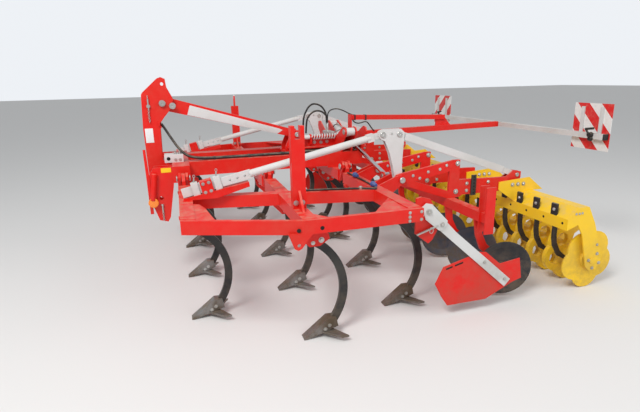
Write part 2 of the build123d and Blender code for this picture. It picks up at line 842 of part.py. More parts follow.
def depth_link():
    """The front link: an eye on the crank, a tube, and the perforated bar that runs through the clamp."""
    run = math.dist((P1_X, P1_Z), (CLAMP_X, CLAMP_Z))
    ux, uz = (CLAMP_X - P1_X) / run, (CLAMP_Z - P1_Z) / run

    def at(distance):
        return (P1_X + ux * distance, LINK_Y, P1_Z + uz * distance)

    tube = round_bar(at(110), at(1150), LINK_TUBE_RADIUS)
    bar = square_bar(at(1140), at(run + 190), LINK_BAR_WIDTH, LINK_BAR)
    for step in range(3):
        hole = at(1190 + step * 60)
        bar = bar - cross_pin(hole[0], hole[2], LINK_Y - 50, LINK_Y + 50, 9)
    neck = square_bar(at(20), at(120), KNUCKLE, 50)
    boss = cross_pin(P1_X, P1_Z, LINK_Y - KNUCKLE / 2, LINK_Y + KNUCKLE / 2, 38)
    knuckle = square_bar(at(80), at(140), 50, 64)
    bore = cross_pin(P1_X, P1_Z, LINK_Y - 60, LINK_Y + 60, LINK_PIN + HINGE_FIT)
    return fuse([tube, bar, neck, boss, knuckle]) - bore


CRANK_OUTLINE = [
    (-828, 1330),
    (-840, 1368),
    (-880, 1382),
    (-1030, 1382),
    (-1064, 1350),
    (-1060, 1290),
    (-1046, 1080),
    (-1056, 940),
    (-1030, 918),
    (-990, 925),
    (-962, 1060),
    (-930, 1180),
    (-885, 1285),
    (-850, 1300),
]


def depth_crank():
    """Two crank plates with the pin of the front link, and the rear bar down to the roller frame."""
    plates = []
    for side in (-1, 1):
        inner = LINK_Y + side * CRANK_GAP / 2
        plates.append(side_plate(CRANK_OUTLINE, inner, inner + side * CRANK_PLATE))
    reach = CRANK_GAP / 2 + CRANK_PLATE
    pin = cross_pin(P1_X, P1_Z, LINK_Y - reach - 8, LINK_Y + reach + 8, LINK_PIN)
    run = math.dist((P2_X, P2_Z), (REAR_BAR_X, REAR_BAR_Z))
    ux, uz = (REAR_BAR_X - P2_X) / run, (REAR_BAR_Z - P2_Z) / run

    def at(distance):
        return (P2_X + ux * distance, LINK_Y, P2_Z + uz * distance)

    bar = square_bar(at(60), at(run - 170), 46, 62)
    root = square_bar(at(-20), at(90), CRANK_GAP, 60)
    tail = square_bar(at(run - 180), at(run + 20), CRANK_GAP, 50)
    reach_in = CRANK_GAP / 2
    foot = cross_pin(PIVOT_X, PIVOT_Z, LINK_Y - reach_in, LINK_Y + reach_in, SLEEVE_RADIUS - 4)
    whole = fuse(plates + [pin, bar, root, tail, foot])
    return whole - cross_pin(PIVOT_X, PIVOT_Z, LINK_Y - 90, LINK_Y + 90, PIVOT_PIN + HINGE_FIT)


# Roller frame

ARM_OUTLINE = [
    (-985, 915),
    (-978, 955),
    (-990, 992),
    (-1020, 1000),
    (-1540, 1085),
    (-1600, 1085),
    (-1600, 905),
    (-2120, 890),
    (-2120, 765),
    (-1640, 765),
    (-1600, 745),
    (-1480, 745),
    (-1025, 908),
]
ARM_WINDOW = [
    (-1160, 925),
    (-1500, 990),
    (-1500, 808),
]


def arm_outline_solid(y):
    arm = side_plate(ARM_OUTLINE, y - ARM_THICK / 2, y + ARM_THICK / 2)
    return arm - side_plate(ARM_WINDOW, y - ARM_THICK, y + ARM_THICK)


def roller_arms():
    arms = []
    spans = pivot_spans()
    for y, (inner, outer) in zip((ARM_INNER_Y, ARM_OUTER_Y), spans):
        arm = arm_outline_solid(y)
        low = y - ARM_THICK / 2 if y == ARM_INNER_Y else LINK_Y + CRANK_GAP / 2 + CRANK_PLATE
        start = inner + RUN_GAP if y == ARM_INNER_Y else low
        sleeve = cross_pin(PIVOT_X, PIVOT_Z, start, outer - RUN_GAP, SLEEVE_RADIUS)
        pieces = [arm, sleeve]
        if y == ARM_OUTER_Y:
            pieces.append(rear_clevis(y))
        arm = fuse(pieces)
        arms.append(arm - cross_pin(PIVOT_X, PIVOT_Z, 0, 1400, PIVOT_PIN + HINGE_FIT))
    return arms


def rear_clevis(arm_y):
    half = CRANK_GAP / 2
    deck = block(REAR_BAR_X - 10, -2090, LINK_Y - half - 14, arm_y - ARM_THICK / 2 + 10, 830, 850)
    ears = []
    outline = [
        (REAR_BAR_X - 42, 868),
        (REAR_BAR_X - 42, 925),
        (REAR_BAR_X + 38, 940),
        (-2090, 870),
        (-2090, 830),
        (REAR_BAR_X - 10, 830),
    ]
    for side in (-1, 1):
        inner = LINK_Y + side * half
        ears.append(side_plate(outline, inner, inner + side * 14))
    return fuse([deck] + ears)


def disc_place(y):
    """The plane of a disc's axis: its origin at the hub, its z pointing outwards along the axle."""
    turn = math.radians(DISC_TURN)
    return Plane(
        origin=(DISC_X, y, DISC_Z),
        x_dir=(0, 0, 1),
        z_dir=(math.sin(turn), math.cos(turn), 0),
    )


def disc_row():
    """The cross tube with a curved arm and a bearing boss for each disc, and the outer holder."""
    bottom = DISC_BEAM_TOP - DISC_BEAM
    tube = block(
        DISC_BEAM_X - DISC_BEAM / 2,
        DISC_BEAM_X + DISC_BEAM / 2,
        DISC_BEAM_INNER,
        DISC_BEAM_OUTER,
        bottom,
        DISC_BEAM_TOP,
    )
    pieces = [tube]
    for y in DISC_Y:
        outline = [
            (DISC_BEAM_X - 35, bottom),
            (DISC_BEAM_X + 35, bottom),
            (DISC_BEAM_X + 10, 520),
            (DISC_BEAM_X - 40, 400),
            (DISC_X + 60, 290),
            (DISC_X + 10, DISC_Z - 20),
            (DISC_X - 25, DISC_Z + 15),
            (DISC_X + 20, 345),
            (DISC_BEAM_X - 95, 440),
            (DISC_BEAM_X - 45, 540),
        ]
        arm = side_plate(outline, y - DISC_ARM / 2, y + DISC_ARM / 2)
        place = disc_place(y)
        boss = place * Cylinder(BOSS_RADIUS, BOSS_LENGTH)
        bore = place * Cylinder(STUB_RADIUS + HINGE_FIT, BOSS_LENGTH * 2)
        pieces.append((arm + boss) - bore)
    near, far = DISC_BEAM_OUTER, DISC_BEAM_OUTER + HOLDER_REACH
    for y in (near, far):
        pieces.append(block(DISC_BEAM_X - 42, DISC_BEAM_X + 42, y, y + HOLDER_PLATE, 580, 960))
    link = block(DISC_BEAM_X - 30, DISC_BEAM_X + 30, near + HOLDER_PLATE, far, bottom, DISC_BEAM_TOP)
    pieces.append(link)
    return fuse(pieces)


def dish(base):
    """A shallow bowl with straight-sided bands, solid inside, its floor at the given height."""
    bands = []
    for (near, low), (far, high) in zip(DISC_BANDS, DISC_BANDS[1:]):
        slope = math.degrees(math.atan2(far - near, high - low))
        rim = Pos(0, 0, base + low) * RegularPolygon(near, DISC_SIDES)
        bands.append(extrude(rim, amount=high - low, taper=-slope, dir=(0, 0, 1)))
    return fuse(bands)


def disc(y):
    """A dished disc on its hub, with the stub axle that turns in the boss."""
    place = disc_place(y)
    start = BOSS_LENGTH / 2 + RUN_GAP
    floor = start + HUB_LENGTH
    bowl = dish(floor) - dish(floor + DISC_PLATE)
    hub = Pos(0, 0, start + (HUB_LENGTH + 12) / 2) * Cylinder(HUB_RADIUS, HUB_LENGTH + 12)
    stub = Pos(0, 0, start - STUB_LENGTH / 2) * Cylinder(STUB_RADIUS, STUB_LENGTH)
    return place * fuse([bowl, hub, stub])


BEAM_PROFILE = [
    (-2195, 560),
    (-2195, 655),
    (-2300, 745),
    (-2400, 745),
    (-2400, 735),
    (-2304, 735),
    (-2205, 650),
    (-2205, 560),
]


def roller_beam():
    """The folded beam over the front of the roller, its mounting plates and end plates."""
    inner, outer = roller_span()
    beam = side_plate(BEAM_PROFILE, inner, outer)
    pieces = [beam]
    mount = [
        (-2020, 775),
        (-2020, 850),
        (-2350, 872),
        (-2510, 745),
        (-2300, 745),
        (-2195, 655),
        (-2130, 700),
    ]
    for y in (ARM_INNER_Y, ARM_OUTER_Y):
        start = y + ARM_THICK / 2
        pieces.append(side_plate(mount, start, start + END_PLATE))
    leg = [
        (-2195, 560),
        (-2195, 655),
        (-2300, 745),
        (-2400, 745),
        (-2480, 600),
        (ROLLER_X - 88, 330),
        (ROLLER_X - 100, 250),
        (ROLLER_X - 60, 180),
        (ROLLER_X + 10, 165),
        (ROLLER_X + 58, 210),
        (-2365, 500),
        (-2305, 600),
    ]
    for y0, y1 in ((inner, inner - END_PLATE), (outer, outer + END_PLATE)):
        plate = side_plate(leg, y0, y1)
        pieces.append(plate - cross_pin(ROLLER_X, ROLLER_RADIUS, -100, 2500, ROLLER_STUB + HINGE_FIT))
    return fuse(pieces)


def roller_span():
    """The Y values between which the roller's rings and tube lie."""
    return ROLLER_INNER - 42, ROLLER_INNER + RING_PITCH * (RING_COUNT - 1) + 42


def arc_points(centre, radius, middle, half_span, steps):
    """Points on an arc, spread evenly on both sides of its middle direction."""
    angles = [middle + half_span * (2 * step / steps - 1) for step in range(steps + 1)]
    return [(centre[0] + radius * math.cos(a), centre[1] + radius * math.sin(a)) for a in angles]


def ring_face(open_lobes):
    """A ring whose edge is a row of lobes, each with a hole in it, so that spokes stay between them."""
    reach = ROLLER_RADIUS - LOBE_RADIUS
    half = math.pi / LOBES
    notch = reach * math.cos(half) + math.sqrt(LOBE_RADIUS**2 - (reach * math.sin(half)) ** 2)
    half_span = math.atan2(notch * math.sin(half), notch * math.cos(half) - reach)
    outline = []
    holes = []
    for lobe in range(LOBES):
        angle = 2 * math.pi * lobe / LOBES - math.pi / 2
        ahead = (math.cos(angle), math.sin(angle))
        centre = (reach * ahead[0], reach * ahead[1])
        outline += arc_points(centre, LOBE_RADIUS, angle, half_span, LOBE_STEPS)[:-1]
        hole = Pos(RING_HOLE_REACH * ahead[0], RING_HOLE_REACH * ahead[1])
        holes.append(hole * RegularPolygon(RING_HOLE, LOBE_STEPS, rotation=math.degrees(angle)))
    face = Polygon(*outline, align=None)
    if open_lobes:
        for hole in holes:
            face = face - hole
    return face


def roller():
    """The shaft tube with its stub ends, the open rings on it, and a plain lobed plate at the outer end."""
    inner, outer = roller_span()
    tube = cross_pin(ROLLER_X, ROLLER_RADIUS, inner + 12, outer - 12, ROLLER_TUBE)
    stub = cross_pin(ROLLER_X, ROLLER_RADIUS, inner - END_PLATE - 6, outer + END_PLATE + 6, ROLLER_STUB)
    bore = cross_pin(ROLLER_X, ROLLER_RADIUS, inner, outer, ROLLER_TUBE)
    pieces = [tube + stub]
    for step in range(RING_COUNT):
        last = step == RING_COUNT - 1
        face, thick = ring_face(not last), END_RING_THICK if last else RING_THICK
        y = ROLLER_INNER + step * RING_PITCH
        near = Plane.XZ.offset(thick / 2 - y)
        placed = near * (Pos(ROLLER_X, ROLLER_RADIUS) * face)
        pieces.append(extrude(placed, amount=thick, dir=(0, 1, 0)) - bore)
    return pieces


def scrapers():
    """Curved scraper arms behind the folded beam, one in each gap between rings."""
    outline = [
        (-2304, 735),
        (-2205, 650),
        (-2205, 450),
        (-2222, 375),
        (-2280, 280),
        (-2372, 230),
        (-2384, 256),
        (-2305, 320),
        (-2262, 400),
        (-2250, 470),
        (-2250, 620),
        (-2312, 680),
    ]
    arms = []
    for step in range(RING_COUNT - 1):
        y = ROLLER_INNER + (step + 0.5) * RING_PITCH
        arms.append(side_plate(outline, y - SCRAPER_THICK / 2, y + SCRAPER_THICK / 2))
    return arms


# Light carrier

def light_rails():
    """Two rails from the rear tower back to the light tube, joined by a gusset."""
    start = tower_back()
    rear = BOARD_X + LIGHT_TUBE
    low = square_bar((start + 50, 0, 1212), (rear - 50, 0, LIGHT_TUBE_Z + 1), RAIL, RAIL)
    upper = square_bar((start + 50, 0, RAIL_TOP - 28), (UPPER_RAIL_REAR, 0, 1352), RAIL, 50)
    gusset = side_plate(
        [(-2060, 1230), (-2060, 1360), (UPPER_RAIL_REAR, 1360), (UPPER_RAIL_REAR - 110, 1230)], -12, 12
    )
    return fuse([low, upper, gusset]) & block(rear, start, -100, 100, 1100, 1500)


def tower_back():
    """The rear face of the rear tower."""
    return FOLD_PLANE["left"] - (FOLD_SPACING + TOWER_PLATE) / 2


def light_tube():
    x = BOARD_X + LIGHT_TUBE / 2
    return block(
        x - LIGHT_TUBE / 2,
        x + LIGHT_TUBE / 2,
        -LIGHT_TUBE_HALF,
        LIGHT_TUBE_HALF,
        LIGHT_TUBE_Z - LIGHT_TUBE / 2,
        LIGHT_TUBE_Z + LIGHT_TUBE / 2,
    )


def warning_boards():
    return [
        block(
            BOARD_X - BOARD_THICK,
            BOARD_X,
            side * BOARD_Y - BOARD / 2,
            side * BOARD_Y + BOARD / 2,
            BOARD_Z - BOARD / 2,
            BOARD_Z + BOARD / 2,
        )
        for side in (1, -1)
    ]


def build():
    os.makedirs("parts", exist_ok=True)
    save("main_tubes", main_tubes())
    save("centre_beams", centre_beams())
    save("hitch_frame", solids_of(hitch_frame()))
    save("tower_plates", tower_plates())
    save("tower_pins", tower_pins())
    save("top_strut", solids_of(top_strut()))
    save("rear_tower", solids_of(rear_tower()))
    holders, shanks, shares = tine_set(CENTRE_TINES)
    save("centre_tine_holders", [s for h in holders for s in solids_of(h)])
    save("centre_tines", [s for h in shanks for s in solids_of(h)])
    save("centre_shares", [s for h in shares for s in solids_of(h)])
    save("light_rails", solids_of(light_rails()))
    save("light_tube", solids_of(light_tube()))
    save("warning_boards", warning_boards())

    left_beams = wing_beams(fork_post(), FOLD_PLANE["left"])
    right_beams = wing_beams(tip_post(), FOLD_PLANE["right"])
    save_pair("wing_beams", left_beams, right_beams)
    save_pair("wing_side_tubes", side_tubes())
    save_pair("wing_band", [side_band()])
    save_pair("depth_clamp", [depth_clamp()])
    holders, shanks, shares = tine_set(WING_TINES)
    save_pair("tine_holders", holders)
    save_pair("tines", shanks)
    save_pair("shares", shares)
    bracket = side_plate(board_bracket_outline(), BOARD_ARM_Y - 18, BOARD_ARM_Y)
    save_pair("board_arm", [board_arm()])
    save_pair("side_board", [side_board()])
    save_pair("board_bracket", [bracket])
    for name, side in (("left", 1), ("right", -1)):
        plane = FOLD_PLANE[name]
        save(f"{name}_fold_barrel", solids_of(fold_barrel(side, plane)))
        save(f"{name}_fold_rod", solids_of(fold_rod(side, plane)))
    save_pair("depth_link", [depth_link()])
    save_pair("depth_crank", [depth_crank()])
    save_pair("roller_arms", roller_arms())
    save_pair("disc_row", [disc_row()])
    save_pair("roller_beam", [roller_beam()])
    save_pair("scrapers", scrapers())
    save_pair("roller", roller())
    for number, y in enumerate(DISC_Y, start=1):
        save_pair(f"disc_{number}", [disc(y)])


build()
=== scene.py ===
# %% [markdown]
# # A folding stubble cultivator
# The frame of this machine comes from the CAD model, already in place and already split into the bodies that
# move. We load it and then dress it: finishes first, then the small pieces that CAD leaves out,
# such as bolts, chains, hoses, a spring, couplings and reflectors.

# %% Load the frame
import bpy
import bmesh
import json
import math
from mathutils import Matrix, Vector


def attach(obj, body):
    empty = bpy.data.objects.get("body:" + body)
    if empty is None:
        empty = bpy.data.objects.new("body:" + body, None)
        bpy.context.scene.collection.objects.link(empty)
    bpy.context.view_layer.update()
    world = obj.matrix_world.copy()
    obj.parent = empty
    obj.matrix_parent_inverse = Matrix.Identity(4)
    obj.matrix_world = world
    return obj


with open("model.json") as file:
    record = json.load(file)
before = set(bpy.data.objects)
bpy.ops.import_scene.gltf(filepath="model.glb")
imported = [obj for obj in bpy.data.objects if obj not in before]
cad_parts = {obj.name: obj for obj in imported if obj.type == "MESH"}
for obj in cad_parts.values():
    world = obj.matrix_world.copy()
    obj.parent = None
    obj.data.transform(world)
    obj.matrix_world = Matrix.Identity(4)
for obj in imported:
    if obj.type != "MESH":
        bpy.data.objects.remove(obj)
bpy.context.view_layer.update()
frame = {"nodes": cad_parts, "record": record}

# %% [markdown]
# The CAD model measures X from the middle beam, and the exported frame has its origin under the middle of the
# whole machine. One number carries points from the first to the second, so that every place below can be
# written as it would be measured on the machine: from the middle beam, in metres.

# %% Points measured from the middle beam
MIDDLE_BEAM_X = 0.934


def at(x, y, z):
    """A point measured from the middle beam, in the frame's own axes."""
    return Vector((x + MIDDLE_BEAM_X, y, z))


print("the middle beam stands at", [round(v, 3) for v in at(0, 0, 0)])


# %% [markdown]
# ## Finishes
# Paint on a field machine is never one colour. It fades a little in broad patches, straw dust settles on the
# faces that look up, soil is thrown on what runs low, and stones chip it down to the steel. Pictures could be
# painted for all this, but noise that reads the object's own coordinates needs none and suits every piece. The
# paints and metals share these effects, so they are one node group with its own inputs, built once.

# %% Helpers that build node trees from short lines
def new_group(name, inputs, outputs):
    """An empty shader group with named sockets: (name, socket type, default)."""
    group = bpy.data.node_groups.new(name, "ShaderNodeTree")
    for label, kind, default in inputs:
        socket = group.interface.new_socket(name=label, in_out="INPUT", socket_type=kind)
        socket.default_value = default
    for label, kind in outputs:
        group.interface.new_socket(name=label, in_out="OUTPUT", socket_type=kind)
    return group


def node(tree, kind, settings=None, **links):
    """Adds a node, sets its properties, and fills its inputs with values or with other nodes' outputs."""
    made = tree.nodes.new(kind)
    for key, value in (settings or {}).items():
        setattr(made, key, value)
    for key, value in links.items():
        socket = made.inputs[int(key[1:])] if key[0] == "i" and key[1:].isdigit() else made.inputs[key]
        if isinstance(value, bpy.types.NodeSocket):
            tree.links.new(value, socket)
        else:
            socket.default_value = value
    return made


def maths(tree, operation, a, b=0.0, clamp=False):
    settings = {"operation": operation, "use_clamp": clamp}
    return node(tree, "ShaderNodeMath", settings, i0=a, i1=b).outputs[0]


def ramp(tree, value, low, high):
    """0 below low, 1 above high, and smooth between them."""
    settings = {"interpolation_type": "SMOOTHSTEP"}
    made = node(tree, "ShaderNodeMapRange", settings, i0=value, i1=low, i2=high, i3=0.0, i4=1.0)
    return made.outputs[0]


def noise(tree, place, scale, detail=3.0, roughness=0.55):
    made = node(tree, "ShaderNodeTexNoise", Vector=place, Scale=scale, Detail=detail, Roughness=roughness)
    return made.outputs[0]


def mix_colour(tree, factor, first, second):
    made = node(tree, "ShaderNodeMix", {"data_type": "RGBA"}, i0=factor, i6=first, i7=second)
    return made.outputs[2]


print("node tree helpers are ready")


# %% The weathering group
DUST_COLOUR = (0.52, 0.43, 0.30, 1)
SOIL_COLOUR = (0.16, 0.115, 0.075, 1)
BARE_STEEL_COLOUR = (0.20, 0.18, 0.17, 1)
DUST_ON_TOP, DUST_ELSEWHERE = 0.80, 0.06


def weathering_group():
    group = new_group(
        "weathering",
        [
            ("Paint", "NodeSocketColor", (0.5, 0.5, 0.5, 1)),
            ("Faded paint", "NodeSocketColor", (0.5, 0.5, 0.5, 1)),
            ("Dust", "NodeSocketFloat", 0.5),
            ("Chips", "NodeSocketFloat", 0.3),
            ("Soil", "NodeSocketFloat", 0.3),
            ("Gloss roughness", "NodeSocketFloat", 0.3),
        ],
        [("Color", "NodeSocketColor"), ("Roughness", "NodeSocketFloat"), ("Height", "NodeSocketFloat")],
    )
    sockets = group.nodes.new("NodeGroupInput").outputs
    place = node(group, "ShaderNodeTexCoord").outputs["Object"]
    normal = node(group, "ShaderNodeNewGeometry").outputs["Normal"]
    upwards = node(group, "ShaderNodeSeparateXYZ", i0=normal).outputs[2]
    height = node(group, "ShaderNodeSeparateXYZ", i0=place).outputs[2]
    patches = noise(group, place, 3.1)
    streaks = noise(group, place, 17.0, 5.0, 0.65)
    grit = noise(group, place, 140.0, 4.0, 0.7)
    colour = mix_colour(group, ramp(group, patches, 0.35, 0.7), sockets["Paint"], sockets["Faded paint"])
    # Dust: on faces that look up, broken by streaks
    looks_up = ramp(group, upwards, 0.1, 0.9)
    dust = maths(group, "ADD", maths(group, "MULTIPLY", looks_up, DUST_ON_TOP), DUST_ELSEWHERE)
    dust = maths(group, "MULTIPLY", dust, ramp(group, streaks, 0.35, 0.75))
    dust = maths(group, "MULTIPLY", dust, sockets["Dust"], True)
    colour = mix_colour(group, dust, colour, DUST_COLOUR)
    # Soil: thicker towards the ground
    low = maths(group, "SUBTRACT", 1.0, ramp(group, height, 0.05, 0.62))
    soil = maths(group, "MULTIPLY", low, ramp(group, maths(group, "ADD", streaks, patches), 0.75, 1.25))
    soil = maths(group, "MULTIPLY", soil, sockets["Soil"], True)
    colour = mix_colour(group, soil, colour, SOIL_COLOUR)
    # Chips: small bare spots where the grit noise peaks
    chips = maths(group, "MULTIPLY", ramp(group, grit, 0.66, 0.72), ramp(group, streaks, 0.5, 0.62))
    chips = maths(group, "MULTIPLY", chips, sockets["Chips"], True)
    colour = mix_colour(group, chips, colour, BARE_STEEL_COLOUR)
    rough = maths(group, "ADD", sockets["Gloss roughness"], maths(group, "MULTIPLY", dust, 0.45))
    rough = maths(group, "ADD", rough, maths(group, "MULTIPLY", soil, 0.45))
    rough = maths(group, "ADD", rough, maths(group, "MULTIPLY", streaks, 0.08), True)
    relief = maths(group, "SUBTRACT", maths(group, "MULTIPLY", soil, 0.6), chips)
    relief = maths(group, "ADD", relief, maths(group, "MULTIPLY", grit, 0.08))
    end = group.nodes.new("NodeGroupOutput")
    for name, value in (("Color", colour), ("Roughness", rough), ("Height", relief)):
        group.links.new(value, end.inputs[name])
    return group


WEATHERING = weathering_group()
print("group", WEATHERING.name, len(WEATHERING.nodes), "nodes")


# %% Painted metal and bare metal
def new_material(name):
    material = bpy.data.materials.new(name)
    material.use_nodes = True
    return material, material.node_tree, material.node_tree.nodes["Principled BSDF"]


def painted(name, paint, faded, dust=0.5, chips=0.3, soil=0.4, roughness=0.34, coat=0.08, metallic=0.0):
    material, tree, shader = new_material(name)
    worn = node(tree, "ShaderNodeGroup", {"node_tree": WEATHERING})
    worn.inputs["Paint"].default_value = (*paint, 1)
    worn.inputs["Faded paint"].default_value = (*faded, 1)
    for label, value in (("Dust", dust), ("Chips", chips), ("Soil", soil), ("Gloss roughness", roughness)):
        worn.inputs[label].default_value = value
    bump = node(tree, "ShaderNodeBump", Strength=0.25, Distance=0.002, Height=worn.outputs["Height"])
    tree.links.new(worn.outputs["Color"], shader.inputs["Base Color"])
    tree.links.new(worn.outputs["Roughness"], shader.inputs["Roughness"])
    tree.links.new(bump.outputs[0], shader.inputs["Normal"])
    shader.inputs["Coat Weight"].default_value = coat
    shader.inputs["Coat Roughness"].default_value = 0.12
    shader.inputs["Specular IOR Level"].default_value = 0.32
    shader.inputs["Metallic"].default_value = metallic
    return material


def bare_metal(name, colour, worn, metallic, **rest):
    """Metal with no lacquer: the same weathering without a coat."""
    return painted(name, colour, worn, coat=0.0, metallic=metallic, **rest)


RED = painted("red paint", (0.74, 0.008, 0.004), (0.67, 0.020, 0.010), soil=0.25)
PALE = painted("pale grey paint", (0.66, 0.66, 0.65), (0.58, 0.575, 0.55), chips=0.4)
YELLOW = painted("yellow paint", (0.95, 0.60, 0.010), (0.88, 0.55, 0.03), dust=0.4, soil=0.35)
BLACK = painted("black paint", (0.018, 0.018, 0.02), (0.035, 0.034, 0.033), coat=0.1)
DISC_BLACK = painted("black disc paint", (0.020, 0.022, 0.026), (0.05, 0.05, 0.055), soil=0.7, coat=0.1)
BLUE = painted("blue coupling", (0.03, 0.09, 0.32), (0.05, 0.11, 0.30))
# White film; the same colour also paints a highlight on the tower's flat face.
WHITE = painted("white film", (0.80, 0.80, 0.79), (0.74, 0.735, 0.72), dust=0.35, chips=0.15)
ORANGE = painted(
    "orange reflector", (0.95, 0.24, 0.01), (0.90, 0.28, 0.03), dust=0.25, chips=0.0, roughness=0.12, coat=0.8
)
RUBBER = painted(
    "black rubber", (0.016, 0.016, 0.017), (0.03, 0.03, 0.03), dust=0.55, chips=0.0, roughness=0.5, coat=0.0
)
# Painted shade: near black, for the discs and plates that stand for the shade in holes, slots and a port.
SHADOW = painted(
    "bare hole", (0.010, 0.009, 0.009), (0.02, 0.016, 0.014), dust=0.1, chips=0.0, roughness=0.8, coat=0.0
)
DISC_STEEL = bare_metal("blued disc steel", (0.075, 0.09, 0.13), (0.14, 0.15, 0.18), 0.6, soil=0.9)
SHARE_STEEL = bare_metal(
    "soil-worn steel", (0.30, 0.29, 0.28), (0.16, 0.12, 0.09), 0.8, soil=0.8, roughness=0.38
)
ZINC = bare_metal("zinc-plated steel", (0.60, 0.60, 0.58), (0.46, 0.45, 0.42), 0.85, roughness=0.32)
CHROME = bare_metal(
    "chromed rod", (0.72, 0.73, 0.75), (0.66, 0.67, 0.69), 1.0, dust=0.2, chips=0.0, roughness=0.12
)
print("finishes:", ", ".join(material.name for material in bpy.data.materials))

# %% [markdown]
# The warning boards are striped reflective sheet. A picture could carry the stripes, but a stripe is only the
# repeat of one number along a slanting line, so the pattern needs none: add a point's height to its distance
# from the machine's middle, and split the result. The slant is then mirrored from one board to the other.

# %% Striped board
STRIPE_PERIOD, STRIPE_SHIFT = 0.27, 0.70


def striped():
    material, tree, shader = new_material("striped reflective sheet")
    place = node(tree, "ShaderNodeTexCoord").outputs["Object"]
    parts = node(tree, "ShaderNodeSeparateXYZ", i0=place).outputs
    slant = maths(tree, "ADD", parts[2], maths(tree, "ABSOLUTE", parts[1]))
    count = maths(tree, "ADD", maths(tree, "MULTIPLY", slant, 1 / STRIPE_PERIOD), STRIPE_SHIFT)
    red = maths(tree, "GREATER_THAN", maths(tree, "MODULO", count, 1.0), 0.5)
    colour = mix_colour(tree, red, (0.80, 0.80, 0.78, 1), (0.70, 0.015, 0.015, 1))
    film = noise(tree, place, 30.0)
    dusty = maths(tree, "MULTIPLY", ramp(tree, film, 0.45, 0.8), 0.25)
    colour = mix_colour(tree, dusty, colour, DUST_COLOUR)
    tree.links.new(colour, shader.inputs["Base Color"])
    tree.links.new(maths(tree, "ADD", maths(tree, "MULTIPLY", film, 0.2), 0.3), shader.inputs["Roughness"])
    shader.inputs["Coat Weight"].default_value = 0.4
    return material


STRIPES = striped()
print("one red and one white stripe in every", STRIPE_PERIOD, "m of height")

# %% Give each CAD node its finish
FINISH = {
    "red_paint": RED,
    "pale_paint": PALE,
    "yellow_paint": YELLOW,
    "black_paint": BLACK,
    "board_paint": STRIPES,
    "disc_steel": DISC_STEEL,
    "worn_steel": SHARE_STEEL,
    "zinc_steel": ZINC,
    "chrome_rod": CHROME,
}
for entry in frame["record"]["subparts"]:
    thing = frame["nodes"][entry["node"]]
    finish = FINISH[entry["material_slot"]]
    if not thing.material_slots:
        thing.data.materials.append(finish)
    for slot in thing.material_slots:
        slot.material = finish
for side in ("left", "right"):
    for slot in frame["nodes"][side + "_disc_4"].material_slots:
        slot.material = DISC_BLACK
print("finished", len(frame["nodes"]), "CAD nodes")

# %% [markdown]
# ## Small pieces
# From here on we add what CAD left out. On the machine these are turned, cut or bent parts. Each could be
# modelled by hand, but nearly all of them are one profile that is turned or one outline that is pushed, so we
# let bmesh operators do that: spin makes a pin, a washer, a bolt, a chain link or a spring, and extrude makes a
# plate. Each finished piece is one object that rides on one body of the machine.

# %% Turned shapes
FULL_TURN = 2 * math.pi


def facing(normal):
    """A rotation that turns the Z axis to the given direction."""
    return Vector(normal).to_track_quat("Z", "Y").to_matrix()


def close_ends(shape):
    """Fills the open rims. What was added before is closed, so they belong to the newest part."""
    rims = [edge for edge in shape.edges if edge.is_boundary]
    bmesh.ops.holes_fill(shape, edges=rims, sides=0)


def add_lathe(shape, centre, normal, profile, sides=18):
    """Spins (radius, height) pairs round an axis and closes both ends."""
    turn, centre = facing(normal), Vector(centre)
    verts = [shape.verts.new(centre + turn @ Vector((radius, 0, height))) for radius, height in profile]
    edges = [shape.edges.new(pair) for pair in zip(verts, verts[1:])]
    line, axle = verts + edges, turn.col[2]
    bmesh.ops.spin(shape, geom=line, cent=centre, axis=axle, angle=FULL_TURN, steps=sides, use_merge=True)
    close_ends(shape)


def add_rod(shape, start, end, radius, sides=14):
    line = Vector(end) - Vector(start)
    ease = min(radius * 0.2, line.length * 0.2)
    neck, last = radius - ease, line.length
    add_lathe(shape, start, line, [(neck, 0), (radius, ease), (radius, last - ease), (neck, last)], sides)


def add_bolt(shape, centre, normal, size):
    """A washer and a hexagon head with a chamfer; size is the head's radius."""
    washer = [(size * 1.35, 0), (size * 1.4, size * 0.1), (size * 1.35, size * 0.22)]
    head = [(size, size * 0.2), (size, size * 0.75), (size * 0.84, size * 0.92)]
    add_lathe(shape, centre, normal, washer, 16)
    add_lathe(shape, centre, normal, head, 6)


def add_pin_head(shape, centre, normal, radius):
    """A turned pin head with a chamfer and a shallow centre mark."""
    rim, tall = radius * 0.88, radius * 0.34
    profile = [(radius, 0), (radius, tall * 0.6), (rim, tall)]
    profile += [(radius * 0.25, tall), (radius * 0.12, tall * 0.7)]
    add_lathe(shape, centre, normal, profile, 24)


sample = bmesh.new()
add_bolt(sample, (0, 0, 0), (0, 0, 1), 0.010)
print("one bolt and its washer have", len(sample.faces), "faces")
sample.free()

# %% Pushed shapes
def extrude_outline(shape, spots, push):
    """Makes a face from an outline and pulls it out into a solid."""
    sheet = shape.faces.new([shape.verts.new(spot) for spot in spots])
    pulled = bmesh.ops.extrude_face_region(shape, geom=[sheet])["geom"]
    far_side = [part for part in pulled if isinstance(part, bmesh.types.BMVert)]
    bmesh.ops.translate(shape, verts=far_side, vec=push)


def add_plate(shape, outline, axis, low, high):
    """Pushes an outline along x, y or z: the two numbers of each point are the other two coordinates."""
    order = {"x": (2, 0, 1), "y": (0, 2, 1), "z": (0, 1, 2)}[axis]
    spots = [at(*((a, b, low)[k] for k in order)) for a, b in outline]
    extrude_outline(shape, spots, Vector([(0, 0, high - low)[k] for k in order]))


def rectangle(a, b, c, d):
    """The corners of a rectangle between (a, b) and (c, d)."""
    return [(a, b), (c, b), (c, d), (a, d)]


sample = bmesh.new()
add_plate(sample, rectangle(0, 0, 0.1, 0.2), "z", 0, 0.01)
print("a plate of 100 x 200 x 10 mm has", round(abs(sample.calc_volume()) * 1e6), "cubic cm")
sample.free()

# %% Finishing a piece, and hoses
BEVEL_ANGLE, SMOOTH_ANGLE = 0.6, math.radians(38)
PIECES = []


